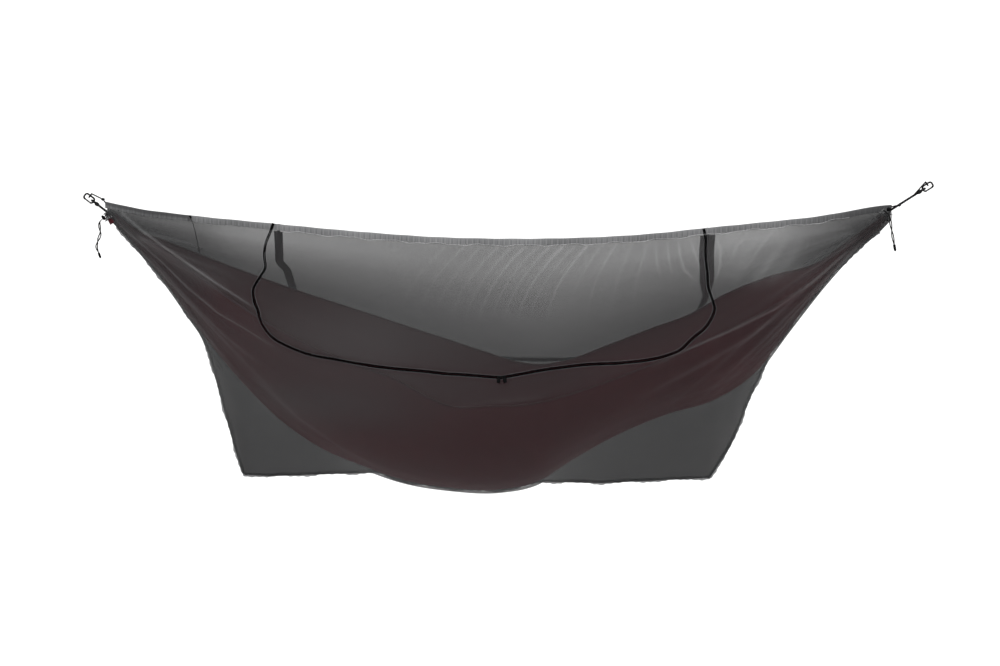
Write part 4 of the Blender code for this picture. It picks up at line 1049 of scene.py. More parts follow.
for face, side in SIDES.items():
    for part, (placed, chosen) in net_veil(face).items():
        used = np.unique(chosen)
        number = {old: new for new, old in enumerate(used)}
        veil = Shape()
        xs, zs, _ = np.array(placed).T
        tables = net_tables[face]
        sections = [net_section(round(x, 5), side) for x in xs.tolist()]
        out = [float(np.interp(-z, -heights, off)) for z, (off, heights, _) in zip(zs.tolist(), sections)]
        out = side * (np.array(out) + in_table(tables["height"], xs, zs))
        lights = in_table(tables["light"], xs, zs)
        opens = np.interp(in_table(tables["share"], xs, zs), *zip(*OPEN[face]))
        opens *= np.interp(xs, *zip(*BUNCHED))
        opens *= (1 + 0.25 * lights) * (1 - in_table(tables["closed"], xs, zs))
        veil.points = [(placed[k][0], float(out[k]), placed[k][1]) for k in used]
        opens, tones_and_highlights = opens[used], lights[used]
        for a, b, c in chosen:
            corners = (a, b, c) if side == 1 else (a, c, b)
            veil.faces.append(tuple(number[k] for k in corners))
            veil.flat.append([(placed[k][0], placed[k][2]) for k in corners])
        name = f"net_{face}_mesh" if part == "panel" else f"{face}_door_mesh"
        stands_for = f"net_{face}_panel" if part == "panel" else f"{face}_door"
        piece(name, veil, net_look, "hammock", [stands_for],
                                       f"{face}_door" if part == "door" else None,
                                       {"open": opens, "tone_and_highlight": tones_and_highlights})


# The zips: a black nylon coil zip in each panel, shaped like a U, with its top ends tacked at the ridge over
# the sleeve. Each tape is sewn under the mesh's turned-in edge. A dark flap lies behind the back zip.

TAPE_REACH = 0.0042
OVER_SLEEVE = 0.0036
COIL_PITCH = 0.0026
COIL_BEAD = (0.0012, 0.0030, 0.0013)
TAPE_THICKNESS = 0.0006
TEETH_BESIDE = 0.0006
TEETH_LIFT = 0.0002
STITCHES_FROM = 0.030
STITCHES_BESIDE = 0.0052
STITCHES_LIFT = 0.0004
STITCH_PITCH = 0.0042
ZIP_STITCH = (0.0030, 0.0005, 0.0005)
# The panels' cuts: the depth of the panel, the depth of its door, and their flat areas
CUT_SIZES = {"front": (1.08, 0.56, 1.89, 0.67), "back": (1.08, 0.66, 1.76, 0.81)}


def off_net(places, face, lift):
    """Points and outward directions beside the net's surface, and over the sleeve near the ridge."""
    places = np.asarray(places, float)
    step = 0.004
    here = near_net(places, face)
    along = near_net(places + (step, 0), face) - near_net(places - (step, 0), face)
    down = near_net(places + (0, step), face) - near_net(places - (0, step), face)
    out = np.cross(along, down)
    out /= np.linalg.norm(out, axis=1)[:, None]
    out *= np.where(out[:, 1] * SIDES[face] < 0, -1.0, 1.0)[:, None]
    under_ridge = np.array([height_at(RIDGE, x) - z for x, z in places])
    rise = OVER_SLEEVE * np.clip((0.033 - under_ridge) / 0.010, 0.0, 1.0)
    return here + out * lift + np.array((0.0, SIDES[face], 0.0)) * rise[:, None], out


def ribbon(face, path, spread):
    """Rows across a ribbon that follows the path, from (distance beside it, lift) pairs."""
    lines = []
    for distance, lift in spread:
        lines.append([tuple(p) for p in off_net(beside(path, distance), face, lift)[0]])
    return list(zip(*lines))


def add_ribbon(shape, face, path, spread):
    rows = ribbon(face, path, spread)
    run = run_along([row[0] for row in rows])
    wide = [distance for distance, _ in spread]
    shape.sheet(rows, lambda i, j: (wide[j], run[i]))


def bead_line(face, path, distance, lift, skipped=0.0):
    """(point, up) pairs for beads beside a path, with its first bit left out."""
    moved = beside(path, distance)
    if skipped:
        moved = evenly_from(moved, skipped)
    return list(zip(*off_net(moved, face, lift)))


def evenly_from(path, skipped):
    """The path without its first bit."""
    run = run_along(path)
    spots = np.concatenate([[skipped], run[run > skipped + 1e-6]])
    return [tuple(np.interp(s, run, column) for column in np.array(path).T) for s in spots]


def upper_ends(path):
    """The two stretches of a path that lie above the door's fold."""
    middle = len(path) // 2
    left = [p for p in path[:middle] if p[1] > FOLD_LINE]
    right = [p for p in path[middle:] if p[1] > FOLD_LINE]
    return left, right


TAPE_RIB_PITCH = 0.0009
tape_look = Look("zip_tape", {"Roughness": 0.90, "Specular IOR Level": 0.0})
ribs = (tape_look.flat_axes()[1] * (2 * math.pi / TAPE_RIB_PITCH)).sine()
lint = tape_look.noise(tape_look.places(), 260.0, 3.0)
worn = (lint * 0.7 + ribs * 0.15 + 0.1).kept()
tape_look.coloured(worn, (0.0004, 0.0004, 0.0005), (0.0012, 0.0012, 0.0013))
tape_look.bump(ribs, 0.0002)
coil_look = Look("coil_teeth", {"Roughness": 0.40, "Specular IOR Level": 0.01})
rubbed = coil_look.noise(coil_look.places(), 90.0, 2.0)
coil_look.coloured(rubbed, (0.0004, 0.0004, 0.0005), (0.0012, 0.0012, 0.0013))
coil_look.feed({"Roughness": 0.44 + rubbed * 0.2})
facing_look = Look("zip_facing", {"Roughness": 0.85, "Specular IOR Level": 0.05})
grain = facing_look.noise(facing_look.places(), 320.0, 3.0)
facing_look.coloured(grain, (0.102, 0.102, 0.104), (0.138, 0.138, 0.141))
facing_look.feed({"Alpha": 1 - facing_look.marked("open") * (0.8 + grain * 0.4)})
thread_look = thread("grey_thread", {"Roughness": 0.6}, 1500.0, (0.13, 0.13, 0.135), (0.24, 0.24, 0.25))


FLAP_FROM = 0.0225
FLAP_DEPTH = 0.0040


def flap_width(x, z):
    """Half the width of the flap behind the back zip: broad at the right, narrow along the bottom."""
    if x > 1.9:
        return float(np.interp(z, (-0.46, -0.36, -0.30), (0.008, 0.012, 0.025)))
    if x < 0.8:
        return float(np.interp(z, (-0.50, -0.40), (0.008, 0.0140)))
    return 0.008


for face in SIDES:
    path = zip_lines[face]
    door_path = below(path, FOLD_LINE)
    tape_spread = [(0.0005, 0.0), (0.0028, 0.0), (0.0038, -0.0008), (TAPE_REACH, -0.0011)]
    door_spread = [(-distance, lift) for distance, lift in tape_spread]

    frame_tape = Shape()
    add_ribbon(frame_tape, face, path, tape_spread)
    frame_teeth = [bead_line(face, path, TEETH_BESIDE, TEETH_LIFT)]
    for stretch in upper_ends(path):
        add_ribbon(frame_tape, face, stretch, door_spread)
        frame_teeth.append(bead_line(face, stretch, -TEETH_BESIDE, TEETH_LIFT, COIL_PITCH / 2))
    for tip, inwards in ((path[0], path[1]), (path[-1], path[-2])):
        for drop in (0.002, 0.0045):
            x = tip[0] + (inwards[0] - tip[0]) * drop / 0.004
            bar = [(x + wide, tip[1] - drop) for wide in (-0.0030, -0.0012, 0.0012, 0.0030)]
            frame_tape.tube(off_net(bar, face, 0.0008)[0], 0.0011, 8)
    door_tape = Shape()
    add_ribbon(door_tape, face, door_path, door_spread)
    door_teeth = [bead_line(face, door_path, -TEETH_BESIDE, TEETH_LIFT, COIL_PITCH / 2)]

    halves = {"frame": (frame_tape, frame_teeth, evenly_from(path, STITCHES_FROM), STITCHES_BESIDE, None),
              "door": (door_tape, door_teeth, door_path, -STITCHES_BESIDE, f"{face}_door")}
    sewn_on = {}
    for half, (tape, _, _, _, soft_door) in halves.items():
        tape = piece(f"{face}_zip_{half}_tape", tape, tape_look, "hammock",
                     [f"{face}_zip_{half}_side"], soft_door)
        thicken(tape, TAPE_THICKNESS)
        sewn_on[half] = [tape]
    for half, (_, teeth, _, _, soft_door) in halves.items():
        sewn_on[half].append(row_of_beads(f"{face}_zip_{half}_teeth", teeth, COIL_PITCH, COIL_BEAD,
                                          coil_look, soft_door))

    if face == "back":
        flap = Shape()
        behind = evenly_from(path, FLAP_FROM)
        behind = evenly_from(behind[::-1], FLAP_FROM)[::-1]
        widths = np.array([flap_width(x, z) for x, z in behind])
        across = beside(behind, 1.0) - np.array(behind)
        lines = [off_net(np.array(behind) + across * (widths * t)[:, None], face, -FLAP_DEPTH)[0]
                 for t in (-1.0, -0.5, 0.0, 0.5, 1.0)]
        flap_run = run_along(lines[2])
        flap.sheet(list(zip(*lines)), lambda i, j: (0.006 * j, flap_run[i]))
        opens = [0.32 if x > 1.7 else 0.14 for x, _, _ in flap.points]
        flap = piece("back_zip_flap", flap, facing_look, "hammock", marks={"open": opens})
        thicken(flap, TAPE_THICKNESS)

    for half, (_, _, seam, distance, soft_door) in halves.items():
        seam = bead_line(face, seam, distance, STITCHES_LIFT)
        sewn_on[half].append(row_of_beads(f"{face}_zip_{half}_stitches", [seam], STITCH_PITCH, ZIP_STITCH,
                                          thread_look, soft_door))
    deep, around, area, door_area = CUT_SIZES[face]


# The ridge sleeve: a folded strip of the mesh over the ridge cord, a little longer than the ridge, so it
# stands in small upright puckers. A wavy row of grey stitches along its lower edge holds both panels.

SLEEVE_DEPTH = [(0.066, 0.021), (2.598, 0.021), (2.606, 0.013), (2.615, 0.010), (2.640, 0.009)]
# How light the sleeve is along x. Its bunched left end is dark, except for the lower part of it
SLEEVE_TONE = [(0.335, 0.11), (0.352, 0.44), (0.62, 0.44), (0.67, 0.56), (1.00, 0.58), (1.45, 0.56),
               (1.55, 0.50), (2.20, 0.50), (2.35, 0.44), (2.45, 0.30), (2.50, 0.16), (2.60, 0.12)]
BUNCHED_TO, BUNCHED_HEM_TONE = 0.335, 0.30
SLEEVE_SECTION = [(-0.0042, 1.0), (-0.0044, 0.72), (-0.0041, 0.40), (-0.0030, 0.14), (-0.0012, 0.02),
                  (0.0012, 0.02), (0.0030, 0.14), (0.0041, 0.40), (0.0044, 0.72), (0.0042, 1.0)]

sleeve_look = Look("sleeve_mesh", {"Roughness": 0.85, "Specular IOR Level": 0.10})
sleeve_grain = sleeve_look.noise(sleeve_look.stretched(sleeve_look.places(), (1.0, 1.0, 0.35)), 330.0, 3.0)
# The sleeve's lighter colour follows its tone along x, plus a painted highlight on its puckers.
sleeve_look.feed({
    "Base Color": sleeve_look.mix(sleeve_look.marked("tone_and_highlight"), (0.020, 0.020, 0.021), (0.230, 0.232, 0.236)),
    "Alpha": (1 - sleeve_look.marked("open") * (0.7 + sleeve_grain * 0.6)).kept(),
})
doubled_look = Look("doubled_mesh", {"Roughness": 0.82, "Specular IOR Level": 0.15})
doubled_grain = doubled_look.noise(doubled_look.places(), 420.0, 3.0)
# The mix towards the light colour is the strip's tone plus a painted highlight where the binding swells and
# the collar frills.
doubled_look.feed({
    "Base Color": doubled_look.mix(doubled_look.marked("tone_and_highlight"), (0.025, 0.025, 0.026),
                                   (0.135, 0.136, 0.138)),
    "Alpha": (1 - doubled_look.marked("open") * (0.85 + doubled_grain * 0.3)).kept(),
})


def sleeve_pucker(x, side):
    """How far the sleeve stands out at x, between about -1 and 1."""
    return (0.45 * math.sin(2 * math.pi * x / 0.0160 + 2.0 * math.sin(31 * x) + side)
            + 0.55 * math.sin(2 * math.pi * x / 0.0090 + 1.7 * math.sin(19 * x) + 2 * side))


sleeve = Shape()
sleeve_rows, sleeve_open, sleeve_tone_and_highlight = [], [], []
for x in np.linspace(0.064, 2.640, 980):
    top, drop = height_at(RIDGE, x), float(np.interp(x, *zip(*SLEEVE_DEPTH)))
    row = []
    for y, share in SLEEVE_SECTION:
        side = 1 if y > 0 else -1
        ripple = sleeve_pucker(x, side) * share * (1.3 - share)
        wave = 0.0008 * math.sin(34 * x) + 0.0005 * math.sin(79 * x + side)
        row.append((x, y + side * 0.0011 * ripple, top - share * (drop + wave) + 0.0004 * math.sin(55 * x)))
        tone = float(np.interp(x, *zip(*SLEEVE_TONE)))
        if x < BUNCHED_TO and share > 0.6:
            tone = BUNCHED_HEM_TONE
        # Where a pucker stands out the sleeve is painted lighter: a painted highlight over its tone along x.
        sleeve_tone_and_highlight.append(tone * (1 + 0.9 * ripple + 0.10 * math.sin(23 * x)))
        sleeve_open.append(0.05)
    sleeve_rows.append(row)
sleeve_run = run_along([row[4] for row in sleeve_rows])
sleeve.sheet(sleeve_rows, lambda i, j: (0.0045 * j, sleeve_run[i]))
sleeve_piece = piece("ridge_sleeve_mesh", sleeve, sleeve_look, "hammock", ["ridge_sleeve"],
                     marks={"open": sleeve_open, "tone_and_highlight": sleeve_tone_and_highlight})
pale_thread = thread("pale_thread", {"Roughness": 0.6, "Specular IOR Level": 0.2}, 1500.0,
                     (0.34, 0.34, 0.345), (0.46, 0.46, 0.47))


SEAM_ASIDE = 0.0058
SEAM_DROP = 0.0215
RIDGE_STITCH = (0.0044, 0.0014, 0.0028)
RIDGE_STITCH_PITCH = 0.0043


def sleeve_seam(x, side):
    """A place on the seam along the sleeve's lower edge, which wanders a little up and down."""
    wander = 0.0024 * math.sin(43 * x + 0.6 * side) + 0.0012 * math.sin(97 * x)
    return Vector((x, side * SEAM_ASIDE, height_at(RIDGE, x) - SEAM_DROP - wander))


ridge_stitches = [[(sleeve_seam(x, side), Vector((0, side, 0))) for x in np.linspace(0.64, 2.50, 560)]
                  for side in (-1, 1)]
row_of_beads("ridge_stitches", ridge_stitches, RIDGE_STITCH_PITCH, RIDGE_STITCH, pale_thread)
# A short dark seam crosses the front panel where the bunched end of the sleeve stops
end_seam = Shape()
end_seam_line = smooth_run([(0.343, -0.072), (0.350, -0.088), (0.362, -0.113), (0.389, -0.176)], 0.004)
add_ribbon(end_seam, "front", end_seam_line, [(-0.0008, 0.0004), (0.0, 0.0010), (0.0008, 0.0004)])
seam_knot = [(0.3400, -0.0062, -0.0665), (0.3430, -0.0074, -0.0690), (0.3450, -0.0066, -0.0725)]
end_seam.tube(seam_knot, 0.0030, 8)
piece("front_end_seam", end_seam, tape_look, "hammock")


# The lower edges: a strip of the mesh is bound over both panels' edges, along the bottom and up both ends,
# and sewn through with grey thread. It puckers a little, so the outline is slightly uneven.

HEM_CORNERS = (0.502, 2.056)
BINDING_STEP = 0.0035
BINDING_CALM = -0.005
BINDING_SEAM = 0.0055
BINDING_STITCH = (0.0030, 0.0006, 0.0005)
GATHER_PITCH = 0.013
BINDING_SECTION = [(-0.0034, -0.0090), (-0.0038, -0.0040), (-0.0033, 0.0006), (-0.0014, 0.0024),
                   (0.0014, 0.0024), (0.0033, 0.0006), (0.0038, -0.0040), (0.0034, -0.0090)]


def hem_z(x):
    """The height of the net's lower edge."""
    return min(net_section(round(x, 5), side)[1][-1] for side in SIDES.values())


def binding(name, stands_for, x_from, x_to, count):
    """A binding along the lower edge between two places along x, with its stitches on both sides."""
    line = [(x, hem_z(x)) for x in np.linspace(x_from, x_to, count)]
    run = run_along(line)
    line = [tuple(np.interp(s, run, column) for column in np.array(line).T)
            for s in np.linspace(0, run[-1], round(run[-1] / BINDING_STEP))]
    points = np.array(line)
    outwards = sideways_of(points)
    strip = Shape()
    rows, tones_and_highlights, opens = [], [], []
    for k, (spot, out) in enumerate(zip(points, outwards)):
        s = BINDING_STEP * k
        pucker = (0.0010 * math.sin(2 * math.pi * s / 0.026 + 1.5 * math.sin(13 * s))
                  + 0.0028 * math.sin(38 * s) + 0.0010 * math.sin(91 * s))
        swell = math.sin(2 * math.pi * s / GATHER_PITCH)
        row = []
        for y, reach in BINDING_SECTION:
            x, z = spot + out * (reach + pucker * (1 if reach > BINDING_CALM else 0.4))
            row.append((x, y * (1 + 0.12 * swell), z))
            # The binding is painted lighter where it swells at each gather: a painted highlight.
            tones_and_highlights.append(0.72 + 0.20 * swell)
            opens.append(0.34)
        rows.append(row)
    strip.sheet(rows, lambda i, j: (0.004 * j, BINDING_STEP * i))
    edge = piece(name, strip, doubled_look, "hammock", [stands_for],
                 marks={"open": opens, "tone_and_highlight": tones_and_highlights})
    seam = points - outwards * BINDING_SEAM
    lines = [[(Vector((x, side * 0.0046, z)), Vector((0, side, 0))) for x, z in seam] for side in (-1, 1)]
    sewn = row_of_beads(name + "_stitches", lines, STITCH_PITCH, BINDING_STITCH, thread_look)


binding("left_end_binding", "left_end_seam", 0.099, HEM_CORNERS[0], 300)
binding("bottom_binding", "bottom_hem", HEM_CORNERS[0], HEM_CORNERS[1], 400)
binding("right_end_binding", "right_end_seam", HEM_CORNERS[1], 2.603, 300)


# The gathers: at each end the cloth is pleated into a tight bundle, bare for a few millimetres, and
# whipped with black cord. The net's frilled collar closes round it, drawn in by its drawcord.

ENDS = {
    "left": {"hang": (0.0, 0.0, 0.0), "gather": (0.070, 0.0, -0.054), "mouth": (0.096, 0.0, -0.090)},
    "right": {"hang": (2.769, 0.0, 0.037), "gather": (2.628, 0.0, -0.0535), "mouth": (2.602, 0.0, -0.080)},
}
BUNDLE = [(0.0, 0.0060), (0.0015, 0.0072), (0.004, 0.0071), (0.007, 0.0078), (0.012, 0.0092),
          (0.020, 0.0128), (0.030, 0.0160), (0.040, 0.0172)]
COLLAR = [(-0.0020, 0.0142), (0.0005, 0.0128), (0.003, 0.0110), (0.006, 0.0100), (0.009, 0.0110),
          (0.012, 0.0128), (0.017, 0.0170), (0.022, 0.0200)]
COLLAR_NECK = 0.006
NECK_RADIUS = 0.0128
WHIPPING_FROM = 0.0012
WHIPPING_LENGTH = 0.0056
WHIPPING_RADIUS = 0.0080
WHIPPING_CORD = 0.00062


def circle(middle, one_way, other_way, radius, count):
    """Points once round a circle."""
    return [middle + radius * (one_way * math.cos(a) + other_way * math.sin(a))
            for a in np.linspace(0, 2 * math.pi, count, endpoint=False)]


def winding(start, way, length, sideways, radius, turns, count):
    """Points on a coil round a way. Its radius is a number, or a function of the share of its length."""
    points = []
    for k in range(count + 1):
        share = k / count
        a = 2 * math.pi * turns * share
        wide = radius(share) if callable(radius) else radius
        points.append(start + way * (length * share) + wide * (sideways[0] * math.cos(a)
                                                               + sideways[1] * math.sin(a)))
    return points


# The bare bundle is the bed's own nylon, painted several times darker than the bed: painted shade deep in
# its tight pleats.
shaded_gather_look = Look("gathered_nylon_painted_shade", {"Roughness": 0.62, "Specular IOR Level": 0.08})
creased = shaded_gather_look.noise(shaded_gather_look.stretched(shaded_gather_look.places(), (0.4, 1.0, 1.0)), 420.0, 3.0)
shaded_gather_look.coloured(creased, (0.022, 0.0032, 0.0046), (0.046, 0.0068, 0.0096))
shaded_gather_look.bump(creased, 0.0004)
cord_black = braid_look("black_braid", (0.0030, 0.0030, 0.0033), (0.0120, 0.0120, 0.0125), 6, 0.9)
for word, end in ENDS.items():
    start, mouth = Vector(end["gather"]), Vector(end["mouth"])
    way = (mouth - start).normalized()
    turn = way.to_track_quat("Z", "Y").to_matrix()

    def off_axis(s, radius, angle):
        """A place round the gather's axis, s past the gather and a radius away."""
        return start + turn @ Vector((radius * math.cos(angle), radius * math.sin(angle), s))

    bundle = Shape()
    rows = []
    sides = 120
    for s in np.linspace(0, BUNDLE[-1][0], 34):
        radius = height_at(BUNDLE, s)
        deep = float(np.interp(s, (0.0, 0.006, 0.03), (0.10, 0.16, 0.26)))
        row = []
        for j in range(sides):
            a = 2 * math.pi * j / sides
            flute = abs(math.sin(7.5 * a + 0.4 * math.sin(3 * a))) ** 0.7
            fine = 0.04 * math.sin(29 * a + 60 * s)
            row.append(off_axis(s, radius * (1 - deep * (1 - flute) + fine * 0.5), a))
        rows.append(row)
    first = bundle.sheet(rows, lambda i, j: (0.0006 * j, 0.0012 * i), closed=True)
    fan = [(0, 0), (0.001, 0), (0, 0.001)]
    last = first + (len(rows) - 1) * sides
    bundle.cap(first, sides, off_axis(-0.0008, 0.0, 0.0), True, fan)
    bundle.cap(last, sides, off_axis(BUNDLE[-1][0] + 0.0005, 0.0, 0.0), False, fan)
    piece(f"{word}_gather_pleats", bundle, shaded_gather_look, "hammock", [f"{word}_gather"])

    whipping = winding(start + way * WHIPPING_FROM, way, WHIPPING_LENGTH, turn.col[:2],
                       lambda share: WHIPPING_RADIUS + 0.0001 * math.sin(120 * share), 5, 120)
    piece(f"{word}_whipping", Shape().tube(whipping, WHIPPING_CORD, 8), cord_black, "hammock")

    collar = Shape()
    rows, tones_and_highlights, opens = [], [], []
    sides = 160
    for s in np.linspace(COLLAR[0][0], COLLAR[-1][0], 22):
        radius = height_at(COLLAR, s)
        flare = abs(s - COLLAR_NECK) / 0.012
        wave_depth = 0.04 + 0.15 * flare
        row = []
        for j in range(sides):
            a = 2 * math.pi * j / sides
            frill = math.cos(17 * a + 0.8 * math.sin(3 * a) + 90 * s)
            row.append(off_axis(s + 0.0008 * math.sin(5 * a) * flare, radius * (1 + wave_depth * frill), a))
            # Each frill's outer fold is painted lighter: a painted highlight.
            tones_and_highlights.append(0.7 + 0.3 * frill)
            opens.append(0.24)
        rows.append(row)
    collar.sheet(rows, lambda i, j: (0.0006 * j, 0.0011 * i), closed=True)
    frilled = piece(f"{word}_collar_frill", collar, doubled_look, "hammock",
                    [f"{word}_net_collar"], marks={"open": opens, "tone_and_highlight": tones_and_highlights})
    neck = circle(start + way * COLLAR_NECK, *turn.col[:2], NECK_RADIUS, 48)
    piece(f"{word}_drawcord_ring", Shape().tube(neck, STRAND_RADIUS, 10, closed=True), TAIL_BRAID, "hammock",
          [f"{word}_drawcord"])


# The suspension ropes: black 7 mm braid. Each is tied to the gather, and ends in a wrapped knot and an
# eye that goes round the carabiner's lower bow.

CARABINER_LENGTH = 0.030
CARABINER_BAR = 0.005
CARABINER_WIDTH = 0.014
ROPE_RADIUS = 0.0037
ROPE_EYE_RADIUS = 0.0072
KNOT_CORD = 0.0026
CUT_END_RADIUS = 0.0023
FRONT_TO_BACK = Vector((0, 1, 0))
carabiner_ways = {}
rope_look = braid_look("rope_braid", (0.0032, 0.0032, 0.0035), (0.0140, 0.0140, 0.0145), 8, 1.0)
for word, end in ENDS.items():
    hang, gather = Vector(end["hang"]), Vector(end["gather"])
    along = (gather - hang).normalized()
    spine = Vector((-along.z, 0, along.x)) if along.x > 0 else Vector((along.z, 0, -along.x))
    carabiner_ways[word] = (along, spine)
    eye_at = hang + along * (CARABINER_LENGTH + CARABINER_BAR / 2)
    knot_at = eye_at + along * (ROPE_EYE_RADIUS - 0.001)
    across = Vector((-along.z, 0, along.x))
    rope = Shape()
    main = [knot_at + along * (0.001 + t) for t in np.linspace(0, (gather - knot_at).length - 0.0022, 10)]
    rope.tube(main, ROPE_RADIUS, 14)
    rope.tube(circle(eye_at, along, FRONT_TO_BACK, ROPE_EYE_RADIUS, 40), ROPE_RADIUS * 0.82, 12, closed=True)
    rope.tube(winding(knot_at + along * 0.0020, along, 0.0110, (across, FRONT_TO_BACK),
                      lambda share: 0.0043 - 0.0012 * abs(2 * share - 1) ** 3, 3, 60), KNOT_CORD, 10)
    stub = [knot_at + along * (0.0085 + 0.0065 * t) - FRONT_TO_BACK * (0.0052 + 0.0012 * t)
            + across * 0.0030 * t for t in np.linspace(0, 1, 6)]
    rope.tube(stub, CUT_END_RADIUS, 10)
    piece(f"{word}_rope_braid", rope, rope_look, "hammock", [f"{word}_suspension_rope"])


# The ridge cord: black 4.4 mm braid through the whole sleeve, with a stopper knot outside it at each end
# and an eye round each carabiner's spine. It sets how deep the hammock hangs and carries the net.

RIDGE_KNOTS = {"left": (0.0570, 0.0, -0.0125), "right": (2.6640, -0.0090, -0.0300)}
RIDGE_EYE_RADIUS = 0.0074
RIDGE_EYE_X = 0.0125
CORD_RADIUS = 0.0022
ridge_cord = Shape()
tips = {}
for word, (along, spine) in carabiner_ways.items():
    ring_at = (Vector(ENDS[word]["hang"]) + along * RIDGE_EYE_X
               + spine * (CARABINER_WIDTH / 2 + CARABINER_BAR / 2))
    tips[word] = ring_at + spine * RIDGE_EYE_RADIUS
    eye = circle(ring_at, spine, FRONT_TO_BACK, RIDGE_EYE_RADIUS, 36)
    ridge_cord.tube(eye, CORD_RADIUS, 10, closed=True)
    knot_at = Vector(RIDGE_KNOTS[word])
    pull = (tips[word] - knot_at).normalized()
    lean = pull.cross(FRONT_TO_BACK).normalized()
    ridge_cord.tube(winding(knot_at - pull * 0.0042, pull, 0.0084, (lean, FRONT_TO_BACK), 0.0031, 2.2, 44),
                    0.0021, 10)
ridge_line = [tips["left"], Vector(RIDGE_KNOTS["left"])]
ridge_line += [Vector((x, 0.0, height_at(RIDGE, x) - 0.0065)) for x in np.linspace(0.066, 2.640, 160)]
rope_start, rope_way = Vector(ENDS["right"]["gather"]), carabiner_ways["right"][0]
beside_rope = [rope_start - rope_way * far + Vector((0, -0.0062, 0.0012)) for far in (0.055, 0.075, 0.095)]
ridge_line += [Vector(RIDGE_KNOTS["right"]), *beside_rope, tips["right"]]
ridge_cord.tube(ridge_line, CORD_RADIUS, 10)
piece("ridge_cord_braid", ridge_cord, rope_look, "hammock", ["ridgeline"])


# The hard small parts: carabiners of black coated alloy, painted sliders, moulded pulls, cord locks and
# cord ends. Each keeps the frame's shape, with its edges rounded over as a casting's or a moulding's are.

SHARP_EDGE = math.radians(35)
FLAT_ANGLE = math.radians(1.5)
SAME_PLACE = 2e-6


def rounded_copy(node, name, bevel, look, body):
    """A merged copy of a CAD node with its edges rounded over."""
    bm = bmesh.new()
    bm.from_mesh(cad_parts[node].data)
    bmesh.ops.remove_doubles(bm, verts=bm.verts, dist=SAME_PLACE)
    bmesh.ops.dissolve_limit(bm, angle_limit=FLAT_ANGLE, verts=bm.verts, edges=bm.edges)
    mesh = bpy.data.meshes.new(name)
    bm.to_mesh(mesh)
    bm.free()
    mesh.materials.clear()
    mesh.shade_smooth()
    mesh.set_sharp_from_angle(angle=SHARP_EDGE)
    copy = piece(name, mesh, look, body, [node])
    round_over = copy.modifiers.new("rounded", "BEVEL")
    round_over.width = bevel
    round_over.segments = 2
    round_over.limit_method = "ANGLE"
    round_over.angle_limit = SHARP_EDGE
    return copy


coated = Look("black_coated_alloy", {"Specular IOR Level": 0.06, "Coat Roughness": 0.3})
scuff = coated.noise(coated.places(), 180.0, 4.0, 0.6)
fleck = coated.noise(coated.places(), 900.0, 2.0)
coated.coloured(((scuff - 0.56) * 4.0).kept(), (0.0014, 0.0014, 0.0016), (0.012, 0.012, 0.013))
coated.feed({"Roughness": 0.40 + scuff * 0.25, "Coat Weight": 0.04 + scuff * 0.08})
coated.bump(fleck, 0.00006)
painted = Look("painted_slider", {"Specular IOR Level": 0.02})
chip = painted.noise(painted.places(), 420.0, 3.0)
painted.coloured(((chip - 0.60) * 5.0).kept(), (0.0006, 0.0006, 0.0007), (0.012, 0.012, 0.011))
painted.feed({"Roughness": 0.30 + chip * 0.25})
moulded = Look("moulded_black", {"Specular IOR Level": 0.02})
texture = moulded.noise(moulded.places(), 1200.0, 2.0)
cast = moulded.noise(moulded.places(), 70.0, 2.0)
moulded.coloured(cast, (0.0006, 0.0006, 0.0007), (0.0018, 0.0018, 0.0020))
moulded.feed({"Roughness": 0.42 + texture * 0.2})
moulded.bump(texture, 0.00005)
steel = Look("spring_steel", {"Metallic": 1.0})
drawn = steel.noise(steel.stretched(steel.places(), (1.0, 6.0, 1.0)), 600.0, 2.0)
steel.coloured(drawn, (0.42, 0.42, 0.43), (0.58, 0.58, 0.59))
steel.feed({"Roughness": 0.24 + drawn * 0.2})

for word in ENDS:
    for node, name, bevel, look, body, slot in (
            ("carabiner_body", "carabiner_bow", 0.0010, coated, "carabiner", "carabiner"),
            ("carabiner_gate", "carabiner_latch", 0.0005, coated, "gate", "carabiner"),
            ("cord_lock", "lock_barrel", 0.0004, moulded, "lock", "lock"),
            ("lock_plunger", "lock_button", 0.0004, moulded, "plunger", "lock")):
        rounded_copy(f"{word}_{node}", f"{word}_{name}", bevel, look, f"{word}_{body}")
    cord_end = rounded_copy(f"{word}_cord_end", f"{word}_cord_end_bell", 0.0004, moulded, "hammock")
    for node in (f"{word}_gate_pin", f"{word}_gate_spring"):
        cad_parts[node].data.materials.clear()
        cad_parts[node].data.materials.append(steel.material)
    for number in "12":
        name = f"{word}_tail_strand_{number}"
        line = tail_routes[word][int(number) - 1]

# Each lock's plunger is pressed out by a small compression spring of 0.4 mm steel wire inside the barrel.

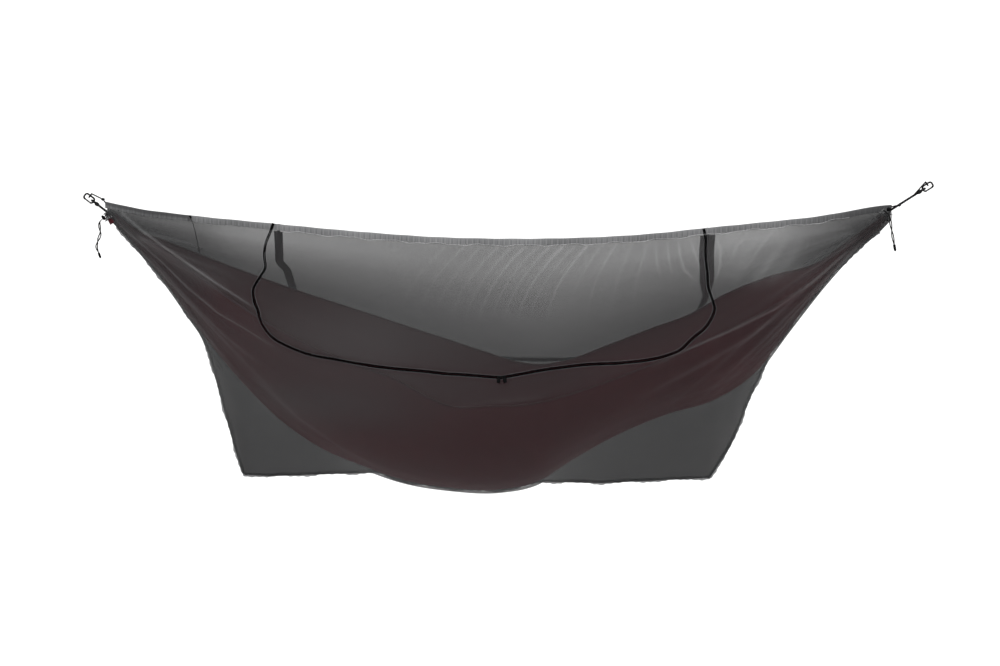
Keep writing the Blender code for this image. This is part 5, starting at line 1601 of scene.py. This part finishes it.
SPRING_RADIUS = 0.0026
SPRING_WIRE = 0.00022
SPRING_FROM, SPRING_TO = -0.00525, -0.00215
for word, lock in LOCKS.items():
    press = Vector(lock["press_way"]).normalized()
    floor_at = Vector(lock["spot"]) + press * SPRING_FROM
    turned = press.to_track_quat("Z", "Y").to_matrix()
    wire = winding(floor_at + press * SPRING_WIRE, press, SPRING_TO - SPRING_FROM - 2 * SPRING_WIRE,
                   turned.col[:2], SPRING_RADIUS, 4, 80)
    spring = piece(f"{word}_lock_spring_coil", Shape().tube(wire, SPRING_WIRE, 8), steel,
                   f"{word}_lock", [f"{word}_lock_spring"])
    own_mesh(spring)


# The sliders and their pulls: two on each zip, painted black, each pull hanging from its slider's bridge.
# A soft black grip, wider than the pull and a little longer, is moulded round its lower end.

GRIP_LENGTH = 0.0160
GRIP_PAST_TIP = 0.0065
GRIP_THICKNESS = 0.0034
GRIP_WIDTH = 0.0116


def pull_grip(face, word):
    """The grip round the lower end of a pull, which hangs the way the pull does."""
    tab = np.array([tuple(corner.co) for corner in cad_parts[f"{face}_{word}_pull"].data.vertices])
    middle = tab.mean(0)
    way = np.linalg.svd(tab - middle)[2][0]
    way = way if way[2] < 0 else -way
    tip = middle + way * ((tab - middle) @ way).max()
    reach = GRIP_LENGTH * np.array([0.0, 0.0375, 0.125, 0.375, 0.625, 0.875, 0.9625, 1.0])
    halves = GRIP_THICKNESS / 2 * np.array([0.70, 0.88, 1.0, 1.0, 1.0, 1.0, 0.88, 0.66])
    line = [Vector(tip + way * (GRIP_PAST_TIP - GRIP_LENGTH + float(far))) for far in reach]
    name = f"{face}_{word}_pull_grip"
    grip = Shape().tube(line, halves.tolist(), 14, flattened=GRIP_WIDTH / GRIP_THICKNESS)
    piece(name, grip, moulded, f"{face}_{word}_pull")


for face in SIDES:
    for word in ENDS:
        for node, name, bevel, look in (("slider", "slider_body", 0.0003, painted),
                                        ("pull", "pull_tab", 0.0004, moulded)):
            rounded_copy(f"{face}_{word}_{node}", f"{face}_{word}_{name}", bevel, look,
                         f"{face}_{word}_{node}")
        pull_grip(face, word)
